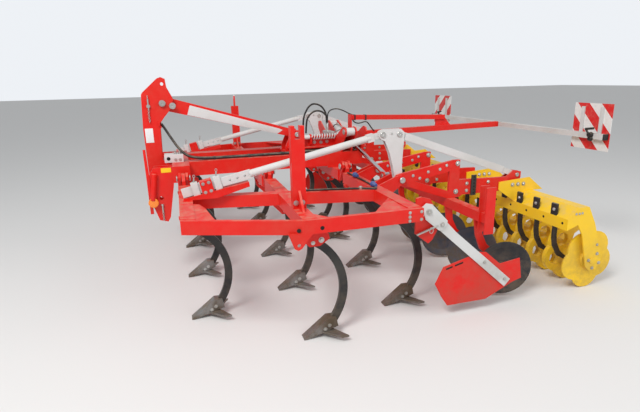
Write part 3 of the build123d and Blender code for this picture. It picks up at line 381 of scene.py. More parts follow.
def finish_piece(name, shape, material, body, bevel=0.0):
    """Rounds a shape's sharp edges and makes it an object that rides on a body."""
    bmesh.ops.recalc_face_normals(shape, faces=shape.faces)
    if bevel:
        sharp = [edge for edge in shape.edges if edge.calc_face_angle(0) > BEVEL_ANGLE]
        settings = {"segments": 2, "profile": 0.7, "affect": "EDGES", "material": -1}
        bmesh.ops.bevel(shape, geom=sharp, offset=bevel, **settings)
    mesh = bpy.data.meshes.new(name)
    shape.to_mesh(mesh)
    shape.free()
    mesh.shade_smooth()
    mesh.set_sharp_from_angle(angle=SMOOTH_ANGLE)
    mesh.materials.append(material)
    return place_piece(name, mesh, body)


def plate_piece(name, outline, axis, low, high, material, body, bevel):
    """A piece that is a single plate."""
    shape = bmesh.new()
    add_plate(shape, outline, axis, low, high)
    finish_piece(name, shape, material, body, bevel)


def place_piece(name, data, body):
    thing = bpy.data.objects.new(name.replace(" ", "_"), data)
    bpy.context.scene.collection.objects.link(thing)
    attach(thing, body)
    PIECES.append(thing)
    return thing


def hose(name, points, radius, material, body):
    """A smooth curve through a few control points, with a round section."""
    curve = bpy.data.curves.new(name, "CURVE")
    curve.dimensions = "3D"
    curve.bevel_depth = radius
    curve.bevel_resolution = 3
    curve.resolution_u = 8
    curve.use_fill_caps = True
    spline = curve.splines.new("NURBS")
    spline.points.add(len(points) - 1)
    for point, spot in zip(spline.points, points):
        point.co = (*spot, 1)
    spline.order_u = 3
    spline.use_endpoint_u = True
    curve.materials.append(material)
    return place_piece(name, curve, body)


SIDES = (("left", 1), ("right", -1))
print("sides:", SIDES)

# %% [markdown]
# ### The tower
# The tower carries two large turned pins, a linch pin on a chain at its front edge, and a thin white plate that
# paints a highlight on its flat face. The strut behind it is red with a long pale panel let into its side.
# Orange reflectors sit on the hitch plates. A panel could be a patch of colour in the paint, but on the machine
# it is a sheet with an edge that catches light, so it is a thin plate just proud of the steel, and so is the
# highlight.

# %% Pins, panel and plates of the tower
TOWER_FACE = 0.080
TOWER_PINS = ((0.877, 1.607), (0.788, 1.581))
PANEL_FRONT, PANEL_REAR = (0.660, 1.5430), (-0.270, 1.2875)


def tower_pin_heads():
    shape = bmesh.new()
    for x, z in TOWER_PINS:
        for _, s in SIDES:
            add_pin_head(shape, at(x, s * (TOWER_FACE + 0.013), z), (0, s, 0), 0.031)
    finish_piece("tower pin heads", shape, ZINC, "frame")


def strut_panel():
    """The bare pale panel on the near side of the strut, inside its red rim."""
    (front, front_z), (rear, rear_z) = PANEL_FRONT, PANEL_REAR
    outline = [
        (front, front_z - 0.054),
        (front - 0.03, front_z + 0.036),
        (rear + 0.04, rear_z + 0.030),
        (rear, rear_z + 0.012),
        (rear + 0.06, rear_z - 0.024),
    ]
    plate_piece("bare strut panel", outline, "y", 0.0345, 0.0368, PALE, "frame", 0.0008)


tower_pin_heads()
strut_panel()
# The white plate is a painted highlight: it stands for the light on the tower's flat face.
white, yellow = rectangle(0.985, 1.248, 1.056, 1.381), rectangle(0.853, 1.029, 0.937, 1.069)
plate_piece("bare white plate", white, "y", 0.0795, 0.0825, WHITE, "frame", 0.001)
plate_piece("bare yellow plate", yellow, "y", 0.4995, 0.502, YELLOW, "frame", 0.0008)
print("tower pieces", len(PIECES))

# %% Chain links
OVAL_HALF_WIDTH, OVAL_HALF_LENGTH = 0.34, 0.50
CHAIN_STEP = 0.0135


def add_section(shape, centre, outward, across, radius):
    """A small hexagon of wire round a point: the section that a ring or a coil is spun from."""
    turn = Matrix((-across, outward, outward.cross(across))).transposed().to_4x4()
    place = Matrix.Translation(centre) @ turn
    verts = bmesh.ops.create_circle(shape, segments=6, radius=radius, matrix=place)["verts"]
    return verts + list(dict.fromkeys(edge for vert in verts for edge in vert.link_edges))


def chain_link(shape, centre, turn, length, thick):
    """An oval link: a ring spun round its middle, whose two ends are then drawn apart."""
    tilt, before = facing(turn), set(shape.verts)
    broad, tall, axle = tilt.col[0], tilt.col[1], tilt.col[2]
    section = add_section(shape, centre + broad * (length * OVAL_HALF_WIDTH), broad, axle, thick)
    bmesh.ops.spin(shape, geom=section, cent=centre, axis=axle, angle=FULL_TURN, steps=14, use_merge=True)
    stretch = length * (OVAL_HALF_LENGTH - OVAL_HALF_WIDTH)
    for vert in set(shape.verts) - before:
        reach = vert.co - centre
        flat = reach - axle * reach.dot(axle)
        vert.co += tall * (flat.normalized().dot(tall) * stretch)


def hang_chain(shape, x, y, top, count, sway=0.0):
    """Small links that hang from a point, each turned against the one above."""
    for link in range(count):
        turn = (1, 0.15, 0) if link % 2 else (0.15, 1, 0)
        chain_link(shape, at(x + sway * (link % 3), y, top - CHAIN_STEP * link), turn, 0.020, 0.0022)


print("chain links hang", CHAIN_STEP, "m apart")

# %% Linch pin, reflectors and their struts
HITCH_FACE = 0.4995
LINK_PIN_X, LINK_PIN_Y = 0.955, 0.5065


def linch_pin_and_chain():
    shape = bmesh.new()
    x, y = 1.002, TOWER_FACE + 0.010
    add_rod(shape, at(x, y, 1.548), at(x, y, 1.655), 0.007)
    add_lathe(shape, at(x, y - 0.008, 1.585), (0, 1, 0), [(0.016, 0), (0.019, 0.004), (0.016, 0.018)], 18)
    chain_link(shape, at(x, y, 1.668), (1, 0, 0), 0.034, 0.0028)
    hang_chain(shape, x, y, 1.537, 8, 0.002)
    finish_piece("linch pin and chain", shape, ZINC, "frame")


def reflectors(name, s):
    shape = bmesh.new()
    bar = [(1.068, 1.240), (1.046, 1.240), (1.036, 0.965), (1.034, 0.663), (1.062, 0.663), (1.064, 0.965)]
    add_plate(shape, bar, "y", s * HITCH_FACE, s * (HITCH_FACE + 0.005))
    add_rod(shape, at(0.994, s * 0.524, 1.030), at(1.029, s * 0.524, 0.790), 0.024, 20)
    finish_piece(name + " reflector strut", shape, RED, "frame", 0.0015)
    shape = bmesh.new()
    rim = [(0.040, 0), (0.043, 0.003), (0.043, 0.008), (0.038, 0.010), (0.037, 0.0085), (0.012, 0.0095)]
    add_lathe(shape, at(1.026, s * 0.530, 0.772), (0, s, 0), rim, 32)
    finish_piece(name + " round reflector", shape, ORANGE, "frame")
    shape = bmesh.new()
    y, collar = s * LINK_PIN_Y, [(0.013, 0), (0.015, 0.003), (0.012, 0.012)]
    add_rod(shape, at(LINK_PIN_X, y, 0.665), at(LINK_PIN_X, y, 0.745), 0.0075)
    add_lathe(shape, at(LINK_PIN_X, y, 0.737), (0, 0, 1), collar, 16)
    hang_chain(shape, LINK_PIN_X, y, 0.660, 5)
    finish_piece(name + " link pin and chain", shape, ZINC, "frame")


def valve_block():
    """A pale block with painted shade in its port and two couplings, in front of the near main tube."""
    block = rectangle(0.735, 1.0745, 0.905, 1.148)
    plate_piece("valve block", block, "y", 0.130, 0.262, PALE, "frame", 0.004)
    # The dark disc is painted shade: it stands for the shade in the port's mouth.
    shape = bmesh.new()
    add_lathe(shape, at(0.868, 0.2615, 1.112), (0, 1, 0), [(0.017, 0), (0.017, 0.0015), (0.013, 0.002)], 20)
    finish_piece("valve block port", shape, SHADOW, "frame")
    shape = bmesh.new()
    fitting = [(0.013, 0), (0.013, 0.014), (0.009, 0.016), (0.009, 0.030)]
    for x in (0.765, 0.805):
        add_bolt(shape, at(x, 0.262, 1.100), (0, 1, 0), 0.010)
        add_lathe(shape, at(x, 0.225, 1.148), (0, 0, 1), fitting, 6)
    finish_piece("valve block fittings", shape, ZINC, "frame")


linch_pin_and_chain()
for name, s in SIDES:
    reflectors(name, s)
valve_block()
print("tower and hitch pieces", len(PIECES))

# %% [markdown]
# ### The rear tower
# A coil spring sits on a red shaft on the near side of the rear tower, held by three small lugs. A curve with a
# round section could draw the coil, but spin does it in one call: it turns a small hexagon and moves it along
# at the same time. The pins of the fold cylinders and of the hinges all end in turned heads.

# %% Spring, shaft and lugs
SPRING_Y, SPRING_Z = 0.142, 1.224
SPRING_FRONT, SPRING_REAR = -0.545, -0.845
SPRING_TURNS, STEPS_PER_TURN = 11, 14
COIL_RADIUS, WIRE_RADIUS = 0.025, 0.0058
TOWER_SIDE = 0.110


def spring():
    shape, steps = bmesh.new(), SPRING_TURNS * STEPS_PER_TURN
    middle, axle, outward = at(SPRING_FRONT, SPRING_Y, SPRING_Z), Vector((1, 0, 0)), Vector((0, 1, 0))
    section = add_section(shape, middle + outward * COIL_RADIUS, outward, axle, WIRE_RADIUS)
    forward, angle = axle * ((SPRING_REAR - SPRING_FRONT) / steps), FULL_TURN * SPRING_TURNS
    bmesh.ops.spin(shape, geom=section, cent=middle, axis=axle, dvec=forward, angle=angle, steps=steps)
    close_ends(shape)
    finish_piece("tower spring", shape, PALE, "frame")


def spring_rod(shape, front, rear, radius, sides):
    """A rod on the spring's own axis."""
    add_rod(shape, at(front, SPRING_Y, SPRING_Z), at(rear, SPRING_Y, SPRING_Z), radius, sides)


def spring_shaft():
    shape = bmesh.new()
    spring_rod(shape, -0.520, -0.885, 0.010, 14)
    finish_piece("tower spring shaft", shape, RED, "frame")
    shape = bmesh.new()
    spring_rod(shape, -0.410, -0.470, 0.017, 20)
    spring_rod(shape, -0.466, -0.528, 0.022, 20)
    finish_piece("tower spring sleeve", shape, PALE, "frame", 0.001)
    shape = bmesh.new()
    lug = [(0.109, 1.130), (0.165, 1.160), (0.172, 1.215), (0.160, 1.252), (0.128, 1.256), (0.109, 1.240)]
    for x in (-0.456, -0.534, -0.853):
        add_plate(shape, lug, "x", x - 0.006, x + 0.006)
    finish_piece("tower spring lugs", shape, RED, "frame", 0.0012)


def tower_sides():
    flange = rectangle(-0.30, 0.109, -0.80, 0.200)
    plate_piece("tower flange", flange, "z", 1.118, 1.128, RED, "frame", 0.002)
    shape = bmesh.new()
    for x, z in ((-0.585, 1.165), (-0.655, 1.160), (-0.35, 1.10), (-0.42, 1.10), (-0.72, 1.165)):
        for _, s in SIDES:
            add_bolt(shape, at(x, s * TOWER_SIDE, z), (0, s, 0), 0.013)
    finish_piece("tower side bolts", shape, ZINC, "frame")


spring()
spring_shaft()
tower_sides()
print("with the spring", len(PIECES))

# %% Heads on the frame's pins
BEAM_X = {"front": 0.755, "middle": 0.0, "rear": -0.755}
HINGE_Y, HINGE_Z = 0.570, 0.980
BARREL_PLANE = {"left": -0.966, "right": -0.860}
BARREL_FOOT_Y, BARREL_FOOT_Z = 0.420, 1.290
ROD_EYE_Y, ROD_EYE_Z = 1.060, 0.960


def frame_pin_heads():
    shape = bmesh.new()
    for x in BEAM_X.values():
        for _, s in SIDES:
            for way in (1, -1):
                add_pin_head(shape, at(x + way * 0.0515, s * HINGE_Y, HINGE_Z), (way, 0, 0), 0.027)
    for name, s in SIDES:
        for way in (1, -1):
            x = BARREL_PLANE[name] + way * 0.0585
            add_pin_head(shape, at(x, -s * BARREL_FOOT_Y, BARREL_FOOT_Z), (way, 0, 0), 0.028)
    for _, s in SIDES:
        add_pin_head(shape, at(-0.400, s * 0.121, 1.255), (0, s, 0), 0.026)
    finish_piece("frame pin heads", shape, ZINC, "frame")


frame_pin_heads()
print("with the frame's pins", len(PIECES))

# %% [markdown]
# ### Tines and shares
# Each shank is clamped by bolts through its holder, and each share is bolted to the end of its shank. Every
# bolt could be an object of its own, but they never move apart, so one mesh holds those of a whole body. The
# rows are the same ones that the frame has, so one table of places serves each body.

# %% Bolts of the tines
CENTRE_TINES = (("front", 0.429), ("front", -0.429), ("middle", 0.143), ("rear", -0.143))
WING_TINES = (("front", 1.286), ("middle", 1.000), ("middle", 1.857), ("rear", 0.714), ("rear", 1.571))
HOLDER_HALF, SHARE_HALF = 0.027, 0.040


def tine_bolts(name, places, body):
    shape = bmesh.new()
    for row, y in places:
        x = BEAM_X[row]
        for way in (1, -1):
            for dx, z, size in ((-0.105, 0.738, 0.015), (0.010, 0.795, 0.015), (-0.045, 0.722, 0.011)):
                add_bolt(shape, at(x + dx, y + way * HOLDER_HALF, z), (0, way, 0), size)
            for dx, z in ((-0.150, 0.085), (-0.118, 0.060)):
                add_bolt(shape, at(x + dx, y + way * SHARE_HALF, z), (0, way, 0), 0.011)
    finish_piece(name, shape, ZINC, body)


tine_bolts("centre tine bolts", CENTRE_TINES, "frame")
for name, s in SIDES:
    tine_bolts(name + " tine bolts", [(row, s * y) for row, y in WING_TINES], name + "_wing")
print("with tine bolts", len(PIECES))

# %% [markdown]
# ### Wings
# On each wing: bolts and painted shade in two holes of the outer band, bolts at the foot of the lock post,
# heads on the pins of the cylinder's eye and of the roller arms, and pale saddles with upright pins at the
# depth clamp. The side board's arm has a pale head plate, bolts, a handle pin with a ring, and painted shade in
# two slots. A hole could be cut through the steel, but only the shade in its mouth shows, so a thin dark plate
# or disc paints it.

# %% Bolts and holes of the wings
BAND_FACE = 2.020
ARM_PIN_X, ARM_PIN_Z = -1.020, 0.955


def wing_bolts(name, s):
    shape = bmesh.new()
    for x, z in ((-0.700, 0.905), (-0.700, 0.875), (-0.700, 0.846), (-0.788, 0.905), (-0.788, 0.850)):
        add_bolt(shape, at(x, s * BAND_FACE, z), (0, s, 0), 0.0085)
    for x in (0.026, -0.020):
        add_bolt(shape, at(x, s * 1.730, 0.972), (0, s, 0), 0.014)
        add_bolt(shape, at(x, s * 1.670, 0.972), (0, -s, 0), 0.014)
    for way in (1, -1):
        x = BARREL_PLANE[name] + way * 0.040
        add_pin_head(shape, at(x, s * ROD_EYE_Y, ROD_EYE_Z), (way, 0, 0), 0.022)
    for y, way in ((0.644, -1), (0.756, 1), (1.266, 1)):
        add_pin_head(shape, at(ARM_PIN_X, s * y, ARM_PIN_Z), (0, s * way, 0), 0.026)
    finish_piece(name + " wing bolts", shape, ZINC, name + "_wing")


def band_hole_shade(name, s):
    # Dark discs of painted shade in the band's two holes.
    shape = bmesh.new()
    mouth = [(0.014, 0), (0.014, 0.0012), (0.011, 0.0014)]
    for x, z in ((0.084, 0.866), (-0.073, 0.868)):
        add_lathe(shape, at(x, s * (BAND_FACE - 0.0005), z), (0, s, 0), mouth, 20)
    finish_piece(name + " band holes", shape, SHADOW, name + "_wing")


print("outer bands stand at", BAND_FACE, "m on each side")

# %% Depth clamp
LINK_Y = 1.170
CLAMP = Vector((0.590, 0.0, 1.020))
LINK_REAR = Vector((-0.866, 0.0, 1.339))
LINK_AXIS = (CLAMP - LINK_REAR).normalized()
LINK_UP = Vector((-LINK_AXIS.z, 0.0, LINK_AXIS.x))
SADDLE = ((-0.029, -0.044), (-0.029, 0.058), (0.029, 0.058), (0.029, -0.044))
SADDLE += ((0.0265, -0.044), (0.0265, 0.043), (-0.0265, 0.043), (-0.0265, -0.044))
SADDLE_HALF = 0.026


def on_link(along, up, y):
    """A point by its distance along the depth link from the clamp, above it, and from the middle."""
    return at(*(CLAMP + LINK_AXIS * along + LINK_UP * up)) + Vector((0, y, 0))


def clamp_blocks(name, s):
    """Two pale saddles on the perforated bar, in front of and behind the clamp, each with an upright pin."""
    blocks, pins, bolts = bmesh.new(), bmesh.new(), bmesh.new()
    for shift in (-0.086, 0.086):
        spots = [on_link(shift - SADDLE_HALF, up, s * (LINK_Y + across)) for across, up in SADDLE]
        extrude_outline(blocks, spots, LINK_AXIS * (2 * SADDLE_HALF))
        base = on_link(shift, 0.050, s * LINK_Y)
        add_rod(pins, base, base + Vector((-0.005, 0, 0.046)), 0.006)
        chain_link(pins, base + Vector((-0.005, 0, 0.054)), (0, 1, 0), 0.022, 0.0025)
    for along in (-0.022, 0.022):
        for up in (-0.034, 0.034):
            add_bolt(bolts, on_link(along, up, s * (LINK_Y + 0.038)), (0, s, 0), 0.0095)
    finish_piece(name + " clamp saddles", blocks, PALE, name + "_wing", 0.0015)
    finish_piece(name + " clamp pins", pins, ZINC, name + "_wing")
    finish_piece(name + " clamp bolts", bolts, ZINC, name + "_wing")


for name, s in SIDES:
    wing_bolts(name, s)
    band_hole_shade(name, s)
    clamp_blocks(name, s)
print("with wing pieces", len(PIECES))

# %% Side board and its arm
ARM_FACE = 1.927
ARM_BOLT_PLACES = (
    (-0.896, 0.868, 0.012, 0.014),
    (-1.010, 0.760, 0.008, 0.014),
    (-1.400, 0.412, 0.0, 0.010),
    (-1.595, 0.245, 0.0, 0.010),
)
HANDLE_Y = 1.933


def board_fittings(name, s):
    body = name + "_wing"
    upper = [(-0.842, 0.908), (-0.872, 0.934), (-0.920, 0.922), (-1.052, 0.786)]
    upper += [(-1.048, 0.752), (-1.010, 0.716), (-0.985, 0.718), (-0.872, 0.812)]
    low, high = s * ARM_FACE, s * (ARM_FACE + 0.008)
    plate_piece(name + " arm head plate", upper, "y", low, high, PALE, body, 0.003)
    shape = bmesh.new()
    collar = [(0.024, 0), (0.024, 0.004), (0.022, 0.005)]
    add_lathe(shape, at(-0.896, high, 0.868), (0, s, 0), collar, 28)
    for x, z, lift, size in ARM_BOLT_PLACES:
        add_bolt(shape, at(x, s * (ARM_FACE + lift), z), (0, s, 0), size)
    add_rod(shape, at(-0.805, s * HANDLE_Y, 0.704), at(-0.975, s * HANDLE_Y, 0.757), 0.008)
    chain_link(shape, at(-0.918, s * 1.940, 0.728), (0, 1, 0), 0.044, 0.003)
    finish_piece(name + " arm bolts", shape, ZINC, body)
    # Thin dark plates of painted shade in the arm's two slots.
    shape = bmesh.new()
    for x0, z0, x1, z1 in ((-1.075, 0.395, -1.125, 0.408), (-1.150, 0.414, -1.215, 0.430)):
        slot = [(x0, z0 - 0.007), (x1, z1 - 0.007), (x1 - 0.004, z1)]
        slot += [(x1, z1 + 0.007), (x0, z0 + 0.007), (x0 + 0.004, z0)]
        add_plate(shape, slot, "y", s * 1.9145, s * 1.9158)
    finish_piece(name + " board slots", shape, SHADOW, body)


for name, s in SIDES:
    board_fittings(name, s)
print("with side board pieces", len(PIECES))

# %% [markdown]
# ### Roller frame
# The arms are bolted at many places, the folded beam carries a black clamp for every scraper, and the crank and
# rear bar turn on pins with broad heads. The bolt patterns follow no rule, so they are tables of places, while
# the clamps repeat at one step and come from a loop.

# %% Bolts and clamps of the roller frame
ARM_BOLTS = (
    (-1.140, 0.978, 0.010),
    (-1.205, 0.950, 0.010),
    (-1.285, 1.000, 0.010),
    (-1.400, 1.015, 0.010),
    (-1.465, 1.045, 0.010),
    (-1.575, 1.055, 0.017),
    (-1.570, 0.800, 0.017),
    (-1.680, 0.865, 0.012),
    (-1.680, 0.800, 0.012),
    (-1.905, 0.862, 0.012),
    (-1.905, 0.800, 0.012),
)
LEG_BOLTS = (
    (-2.273, 0.696, 0.008),
    (-2.305, 0.696, 0.008),
    (-2.334, 0.698, 0.008),
    (-2.535, 0.401, 0.009),
    (-2.548, 0.318, 0.011),
    (-2.578, 0.232, 0.011),
    (-2.513, 0.192, 0.011),
    (-2.464, 0.268, 0.011),
)
ARMS_Y = (0.700, 1.210)
FIRST_RING, RING_STEP = 0.140, 0.212
RING_GAPS = [FIRST_RING + (step + 0.5) * RING_STEP for step in range(8)]


def roller_frame_bolts(name, s):
    shape = bmesh.new()
    for arm in ARMS_Y:
        for x, z, size in ARM_BOLTS:
            for way in (1, -1):
                add_bolt(shape, at(x, s * (arm + way * 0.015), z), (0, s * way, 0), size)
        for x in (-2.165, -2.225, -2.285):
            add_bolt(shape, at(x, s * (arm + 0.027), 0.815), (0, s, 0), 0.014)
    for x, z, size in ((-0.866, 1.339, 0.026), (-1.018, 1.336, 0.024), (-0.945, 1.345, 0.010)):
        for way in (1, -1):
            add_pin_head(shape, at(x, s * (LINK_Y + way * 0.0245), z), (0, s * way, 0), size)
    for way in (1, -1):
        add_pin_head(shape, at(-2.238, s * (LINK_Y + way * 0.0265), 0.897), (0, s * way, 0), 0.020)
    for x, z, size in LEG_BOLTS:
        add_bolt(shape, at(x, s * 1.890, z), (0, s, 0), size)
    finish_piece(name + " roller frame bolts", shape, ZINC, name + "_roller_frame")


def scraper_clamps(name, s):
    """An upright black plate over each scraper, with one pale bolt, and painted shade in the holes of the lip
    below.
    """
    clamps, bolts, holes = bmesh.new(), bmesh.new(), bmesh.new()
    upright = [(-2.196, 0.650), (-2.196, 0.752), (-2.211, 0.757), (-2.211, 0.666)]
    mouth = [(0.011, 0), (0.011, 0.001), (0.008, 0.0012)]
    for y in RING_GAPS:
        add_plate(clamps, upright, "y", s * (y - 0.034), s * (y + 0.034))
        add_bolt(bolts, at(-2.196, s * y, 0.705), (1, 0, 0), 0.011)
        # Each hole is a dark disc of painted shade.
        add_lathe(holes, at(-2.1955, s * (y + RING_STEP / 2), 0.612), (1, 0, 0), mouth, 16)
    finish_piece(name + " scraper clamps", clamps, BLACK, name + "_roller_frame", 0.0015)
    finish_piece(name + " scraper clamp bolts", bolts, ZINC, name + "_roller_frame")
    finish_piece(name + " lip holes", holes, SHADOW, name + "_roller_frame")


def adjuster_strip(name, s):
    body, strip = name + "_roller_frame", rectangle(-1.772, 0.752, -1.722, 0.940)
    plate_piece(name + " depth strip", strip, "y", s * 1.2255, s * 1.237, BLACK, body, 0.002)
    # Dark discs of painted shade in the strip's holes.
    shape = bmesh.new()
    mouth = [(0.008, 0), (0.008, 0.001), (0.006, 0.0012)]
    for z in (0.775, 0.805, 0.835, 0.865, 0.895, 0.922):
        add_lathe(shape, at(-1.747, s * 1.2368, z), (0, s, 0), mouth, 14)
    finish_piece(name + " depth strip holes", shape, SHADOW, body)


for name, s in SIDES:
    roller_frame_bolts(name, s)
    scraper_clamps(name, s)
    adjuster_strip(name, s)
print("with roller frame pieces", len(PIECES))

# %% [markdown]
# ### Light carrier
# Two pale uprights hold each board, with a black clamp lever beside them, and dark caps close the ends of the
# cross tube. The lever could be bent from one curve, but the real one is a knob, a neck and a grip that meet at
# corners, so it is three turned shapes in one mesh.

# %% Uprights, caps and lever
BOARD_FACE = -2.934
TUBE_FACE = BOARD_FACE + 0.050
BOARD_Y = 1.300
KNOB_SHIFT = 0.060


def light_pieces():
    shape = bmesh.new()
    for _, s in SIDES:
        for shift in (-0.105, 0.105):
            y = s * BOARD_Y + shift
            outline = rectangle(y - 0.018, 1.264, y + 0.018, 1.500)
            add_plate(shape, outline, "x", BOARD_FACE - 0.0005, BOARD_FACE + 0.012)
    finish_piece("board uprights", shape, PALE, "frame", 0.0015)
    shape = bmesh.new()
    square = rectangle(BOARD_FACE - 0.003, 1.212, TUBE_FACE + 0.003, 1.268)
    for _, s in SIDES:
        add_plate(shape, square, "y", s * 1.486, s * 1.500)
    finish_piece("tube end caps", shape, RUBBER, "frame", 0.004)


def clamp_levers():
    face = TUBE_FACE - 0.001
    upper_knob = [(0.024, 0), (0.026, 0.006), (0.022, 0.034)]
    lower_knob = [(0.022, 0), (0.024, 0.006), (0.018, 0.026)]
    for name, s in SIDES:
        shape = bmesh.new()
        y = s * BOARD_Y
        knob = y + KNOB_SHIFT
        add_lathe(shape, at(face, knob, 1.252), (1, 0, 0), upper_knob, 20)
        add_rod(shape, at(face + 0.028, knob, 1.252), at(face + 0.043, y + 0.028, 1.306), 0.009)
        add_rod(shape, at(face + 0.043, y + 0.026, 1.303), at(face + 0.045, y + 0.118, 1.318), 0.011)
        add_lathe(shape, at(face, knob, 1.215), (1, 0, 0), lower_knob, 18)
        finish_piece(name + " board clamp lever", shape, RUBBER, "frame")


light_pieces()
clamp_levers()
print("with light carrier pieces", len(PIECES))

# %% [markdown]
# ### Hoses
# Three oil lines come from couplings parked on the tower, drop to the near main tube and run back on top of it
# to the rear tower. Two more arch over the rear tower, one runs along each wing's rear beam and side tube, and
# two thin cables serve the light rails. A hose could be modelled section by section, but a curve with a round
# section keeps its thickness through every bend, so only its points are chosen, from the photograph.

# %% Oil lines
LINE_Y = (0.216, 0.238, 0.260)
COUPLING_START, COUPLING_STEP = 0.012, 0.026


def main_hoses():
    for number, y in enumerate(LINE_Y):
        start = COUPLING_START + COUPLING_STEP * number
        path = [
            at(0.905, start, 1.415),
            at(0.880, start, 1.375),
            at(0.835, start + 0.02, 1.290),
            at(0.765, y - 0.05, 1.185),
            at(0.690, y, 1.118),
            at(0.560, y, 1.0925),
            at(0.200, y, 1.0915),
            at(-0.150, y, 1.0915),
            at(-0.330, y, 1.0925),
            at(-0.520, y - 0.010, 1.094),
            at(-0.700, y - 0.010, 1.096),
            at(-0.790, y - 0.012, 1.105),
        ]
        hose(f"main oil line {number + 1}", path, 0.0105, RUBBER, "frame")


def line_clips():
    shape = bmesh.new()
    outline = [(0.200, 1.0795), (0.276, 1.0795), (0.276, 1.100)]
    outline += [(0.268, 1.1045), (0.208, 1.1045), (0.200, 1.100)]
    for x in (0.45, 0.12, -0.21, -0.60):
        add_plate(shape, outline, "x", x - 0.011, x + 0.011)
    finish_piece("oil line clips", shape, RUBBER, "frame", 0.002)


def coupling(shape, start, direction, size):
    """A quick coupling: collar, sleeve and nose."""
    collar, sleeve = [(0.9, 0), (0.95, 0.3)], [(1.45, 0.35), (1.5, 1.4), (1.2, 1.6), (1.2, 3.2)]
    nose = [(0.95, 3.4), (0.95, 4.6), (0.7, 4.8)]
    add_lathe(shape, start, direction, [(size * r, size * h) for r, h in collar + sleeve + nose], 20)


def parked_couplings():
    shape = bmesh.new()
    add_plate(shape, rectangle(-0.020, 1.380, 0.095, 1.440), "x", 0.905, 0.915)
    add_plate(shape, rectangle(0.905, 1.400, 0.930, 1.435), "y", 0.060, 0.095)
    finish_piece("coupling holder", shape, RED, "frame", 0.0012)
    shape = bmesh.new()
    for number in range(len(LINE_Y)):
        y = COUPLING_START + COUPLING_STEP * number
        coupling(shape, at(0.914, y, 1.418), (0.8, 0, 0.45), 0.0088)
    finish_piece("parked couplings", shape, BLUE, "frame")


main_hoses()
line_clips()
parked_couplings()
print("with oil lines", len(PIECES))

# %% Lines at the rear tower and on the wings
ARCHES_Y = (-0.094, -0.070)
JUNCTION_X = -0.786
CABLE_RADIUS = 0.0065


def tower_arches():
    """Two lines that arch over the rear tower, and a cable that leaves its back for the rails."""
    arches = (
        [(-0.520, 1.240), (-0.522, 1.330), (-0.535, 1.435), (-0.610, 1.550), (-0.715, 1.535), (-0.772, 1.465)],
        [(-0.545, 1.240), (-0.550, 1.325), (-0.565, 1.410), (-0.640, 1.475), (-0.725, 1.468), (-0.770, 1.425)],
    )
    ends = [(JUNCTION_X, 1.400), (JUNCTION_X, 1.330)]
    for number, path in enumerate(arches):
        points = [at(x, ARCHES_Y[number], z) for x, z in path + ends]
        hose(f"arched oil line {number + 1}", points, 0.0095, RUBBER, "frame")
    shape = bmesh.new()
    fitting = [(0.0115, 0), (0.0115, 0.055), (0.0095, 0.060), (0.0095, 0.085)]
    for y in ARCHES_Y:
        add_lathe(shape, at(JUNCTION_X, y, 1.258), (0, 0, 1), fitting, 12)
    add_plate(shape, rectangle(-0.815, 1.224, -0.745, 1.262), "y", -0.110, 0.070)
    finish_piece("line junction block", shape, ZINC, "frame", 0.0015)
    path = [
        at(-0.795, -0.100, 1.255),
        at(-0.797, -0.097, 1.360),
        at(-0.800, -0.090, 1.462),
        at(-0.880, -0.070, 1.492),
        at(-0.960, -0.050, 1.468),
        at(-1.060, -0.036, 1.410),
        at(-1.160, -0.034, 1.392),
    ]
    hose("far rail cable", path, CABLE_RADIUS, RUBBER, "frame")


def wing_lines(name, s):
    """One line along the rear beam and forward along the side tube, with two couplings and a clip."""
    places = [(-0.735, 0.700), (-0.738, 0.900), (-0.744, 1.100), (-0.738, 1.310), (-0.726, 1.405)]
    places += [(-0.690, 1.384), (-0.600, 1.340), (-0.400, 1.293), (-0.160, 1.244), (-0.090, 1.230)]
    hose(name + " wing oil line", [at(x, s * y, 0.9390) for x, y in places], 0.0080, RUBBER, name + "_wing")
    shape = bmesh.new()
    for y in (0.865, 1.275):
        coupling(shape, at(-0.738, s * y, 0.9525), (0, s, 0), 0.0160)
    finish_piece(name + " wing couplings", shape, BLUE, name + "_wing")
    shape = bmesh.new()
    clip = [(0.014, 0), (0.016, 0.004), (0.016, 0.022), (0.010, 0.028)]
    add_lathe(shape, at(-0.608, s * 1.343, 0.929), (0, 0, 1), clip, 16)
    finish_piece(name + " wing line clip", shape, ZINC, name + "_wing")


def barrel_lines(name, s):
    """A steel line along the barrel with a fitting near each end, and the rings at its gland and its foot."""
    foot, eye = Vector((0, -s * BARREL_FOOT_Y, BARREL_FOOT_Z)), Vector((0, s * ROD_EYE_Y, ROD_EYE_Z))
    along = (eye - foot).normalized()
    above = Vector((0, -along.z, along.y)) * s

    def on(distance, lift):
        spot = foot + along * distance + above * lift
        return at(BARREL_PLANE[name], spot.y, spot.z)

    shape = bmesh.new()
    gland = [(0.0405, 0), (0.0435, 0.004), (0.0435, 0.034), (0.034, 0.041)]
    foot_ring = [(0.0405, 0), (0.0420, 0.003), (0.0420, 0.022), (0.0405, 0.025)]
    add_lathe(shape, on(0.700, 0), along, gland, 28)
    add_lathe(shape, on(0.120, 0), along, foot_ring, 28)
    finish_piece(name + " gland rings", shape, BLACK, name + "_barrel")
    shape = bmesh.new()
    for distance, reach in ((0.150, 0.05), (0.655, -0.05)):
        add_rod(shape, on(distance, 0.036), on(distance, 0.062), 0.012)
        add_rod(shape, on(distance, 0.056), on(distance + reach, 0.056), 0.009)
    add_rod(shape, on(0.195, 0.056), on(0.61, 0.056), 0.0055)
    finish_piece(name + " barrel line", shape, ZINC, name + "_barrel")


tower_arches()
for name, s in SIDES:
    wing_lines(name, s)
    barrel_lines(name, s)
faces = sum(len(thing.data.polygons) for thing in PIECES if thing.type == "MESH")
print("with the lines", len(PIECES), "pieces and", faces, "faces")
